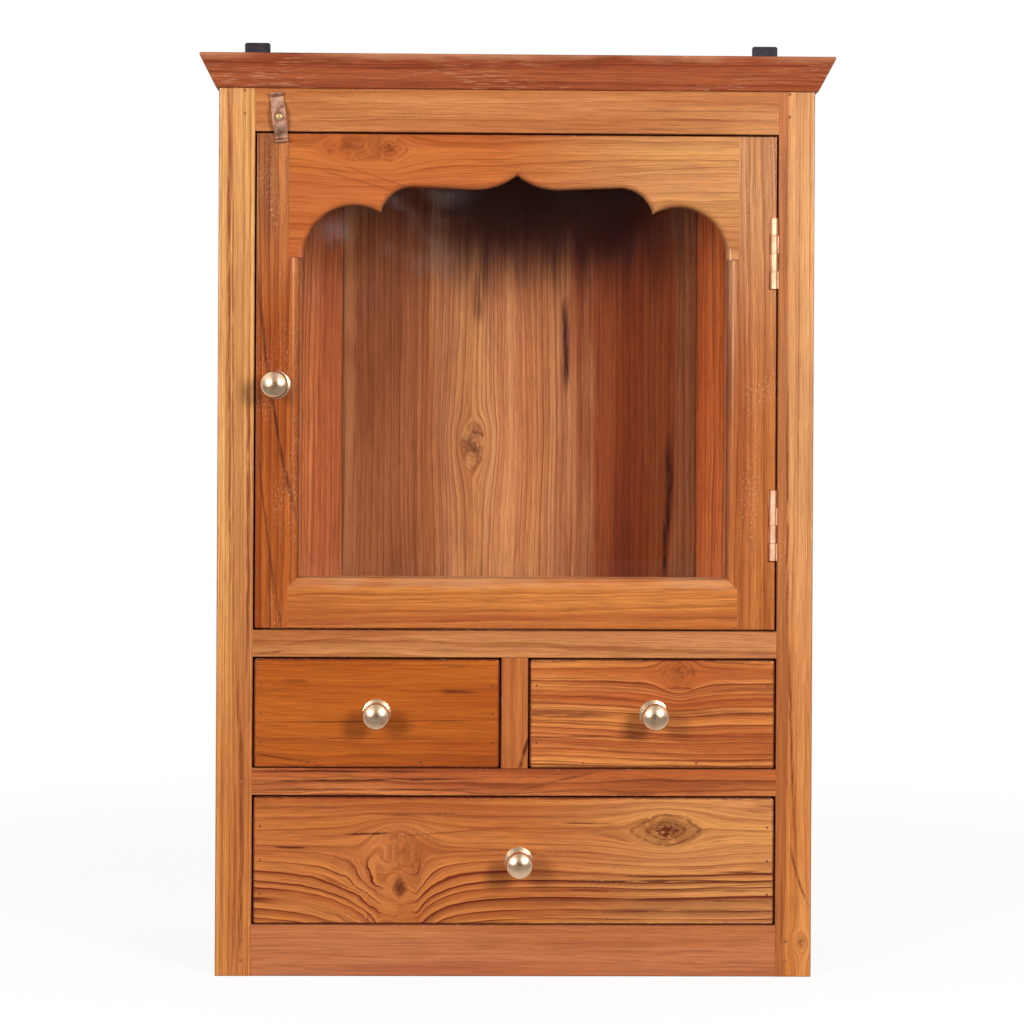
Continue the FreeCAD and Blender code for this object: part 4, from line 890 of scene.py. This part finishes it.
floor_reach = 6.0
floor_drop = 0.0004
floor_mesh = bpy.data.meshes.new("studio_floor")
sheet = bmesh.new()
bmesh.ops.create_grid(sheet, x_segments=1, y_segments=1, size=floor_reach)
sheet.to_mesh(floor_mesh)
sheet.free()
floor = bpy.data.objects.new("studio_floor", floor_mesh)
bpy.context.scene.collection.objects.link(floor)
floor.location.z = -floor_drop
white = bpy.data.materials.new("floor_white")
white.use_nodes = True
tree = white.node_tree
tree.nodes.remove(tree.nodes["Principled BSDF"])
paper = tree.nodes.new("ShaderNodeBsdfDiffuse")
paper.inputs["Color"].default_value = (0.15, 0.15, 0.15, 1.0)
glow = tree.nodes.new("ShaderNodeEmission")
seen, mirrored = rays_of(tree)
ground = tree.nodes.new("ShaderNodeTexCoord").outputs["Object"]
_, forward, _ = parts_of(tree, ground)
forward = calc(tree, "MULTIPLY", forward, -1.0)
near = calc(tree, "SUBTRACT", 0.8, rise(tree, forward, 0.12, 0.35, 0.55))
near = calc(tree, "SUBTRACT", near, rise(tree, forward, 0.5, 2.5, 0.25))
seen = calc(tree, "MAXIMUM", seen, calc(tree, "MULTIPLY", mirrored, near))
put(tree, calc(tree, "MULTIPLY", seen, 0.88), glow.inputs["Strength"])
both = tree.nodes.new("ShaderNodeAddShader")
put(tree, paper.outputs[0], both.inputs[0])
put(tree, glow.outputs[0], both.inputs[1])
plain = tree.nodes.new("ShaderNodeEmission")
put(tree, calc(tree, "MULTIPLY_ADD", seen, 0.9, 0.1), plain.inputs["Strength"])
spot = tree.nodes.new("ShaderNodeVectorMath")
spot.operation = "LENGTH"
put(tree, ground, spot.inputs[0])
far = tree.nodes.new("ShaderNodeMixShader")
put(tree, rise(tree, spot.outputs["Value"], 0.5, 1.2), far.inputs[0])
put(tree, both.outputs[0], far.inputs[1])
put(tree, plain.outputs[0], far.inputs[2])
put(tree, far.outputs[0], tree.nodes["Material Output"].inputs["Surface"])
floor_mesh.materials.append(white)

room = bpy.data.worlds.new("studio_room")
bpy.context.scene.world = room
room.use_nodes = True
tree = room.node_tree
seen, mirrored = rays_of(tree)
sideways, backwards, upwards = parts_of(tree, tree.nodes.new("ShaderNodeTexCoord").outputs["Generated"])
behind = rise(tree, backwards, -0.25, 0.5)
apart = calc(tree, "ABSOLUTE", sideways)
overhead = calc(tree, "ADD", 0.5, rise(tree, apart, 0.08, 0.4, 0.6))
overhead = calc(tree, "MULTIPLY", overhead, rise(tree, upwards, 0.2, 0.45))
panels = calc(tree, "MAXIMUM", behind, overhead)
panels = calc(tree, "MAXIMUM", panels, rise(tree, apart, 0.6, 0.95, 0.7))
mirrored = calc(tree, "MULTIPLY", mirrored, calc(tree, "MULTIPLY_ADD", panels, 0.95, 0.03))
fill = calc(tree, "MULTIPLY_ADD", behind, 0.5, 0.03)
fill = calc(tree, "ADD", fill, rise(tree, upwards, 0.7, 0.95, 0.5))
level = calc(tree, "MAXIMUM", calc(tree, "MAXIMUM", seen, mirrored), fill)
put(tree, level, tree.nodes["Background"].inputs["Strength"])
tree.nodes["Background"].inputs["Color"].default_value = (1.0, 1.0, 1.0, 1.0)

for name, energy, location in (
    ("soft_lamp_left", 21.4, (-1.10, -1.7, 0.74)), ("soft_lamp_right", 26.3, (0.95, -1.7, 0.86)),
):
    lamp = bpy.data.lights.new(name, "AREA")
    lamp.shape = "RECTANGLE"
    lamp.size = 0.5
    lamp.size_y = 0.6
    lamp.energy = energy
    holder = bpy.data.objects.new(name, lamp)
    bpy.context.scene.collection.objects.link(holder)
    holder.location = location
    middle = (cad_low + cad_high) / 2
    holder.rotation_euler = (middle - holder.location).to_track_quat("-Z", "Y").to_euler()
    holder.visible_camera = False
    holder.visible_transmission = False

camera = bpy.data.cameras.new("camera")
camera.lens = 98.0
camera.sensor_width = 36.0
camera.shift_x = 0.011
camera.shift_y = -0.091
eye = bpy.data.objects.new("camera", camera)
bpy.context.scene.collection.objects.link(eye)
eye.location = (-0.0505, -2.0856, 0.400)
eye.rotation_euler = (math.radians(90), math.radians(-0.30), math.radians(-1.13))
bpy.context.scene.camera = eye
bpy.context.scene.view_settings.view_transform = "Standard"
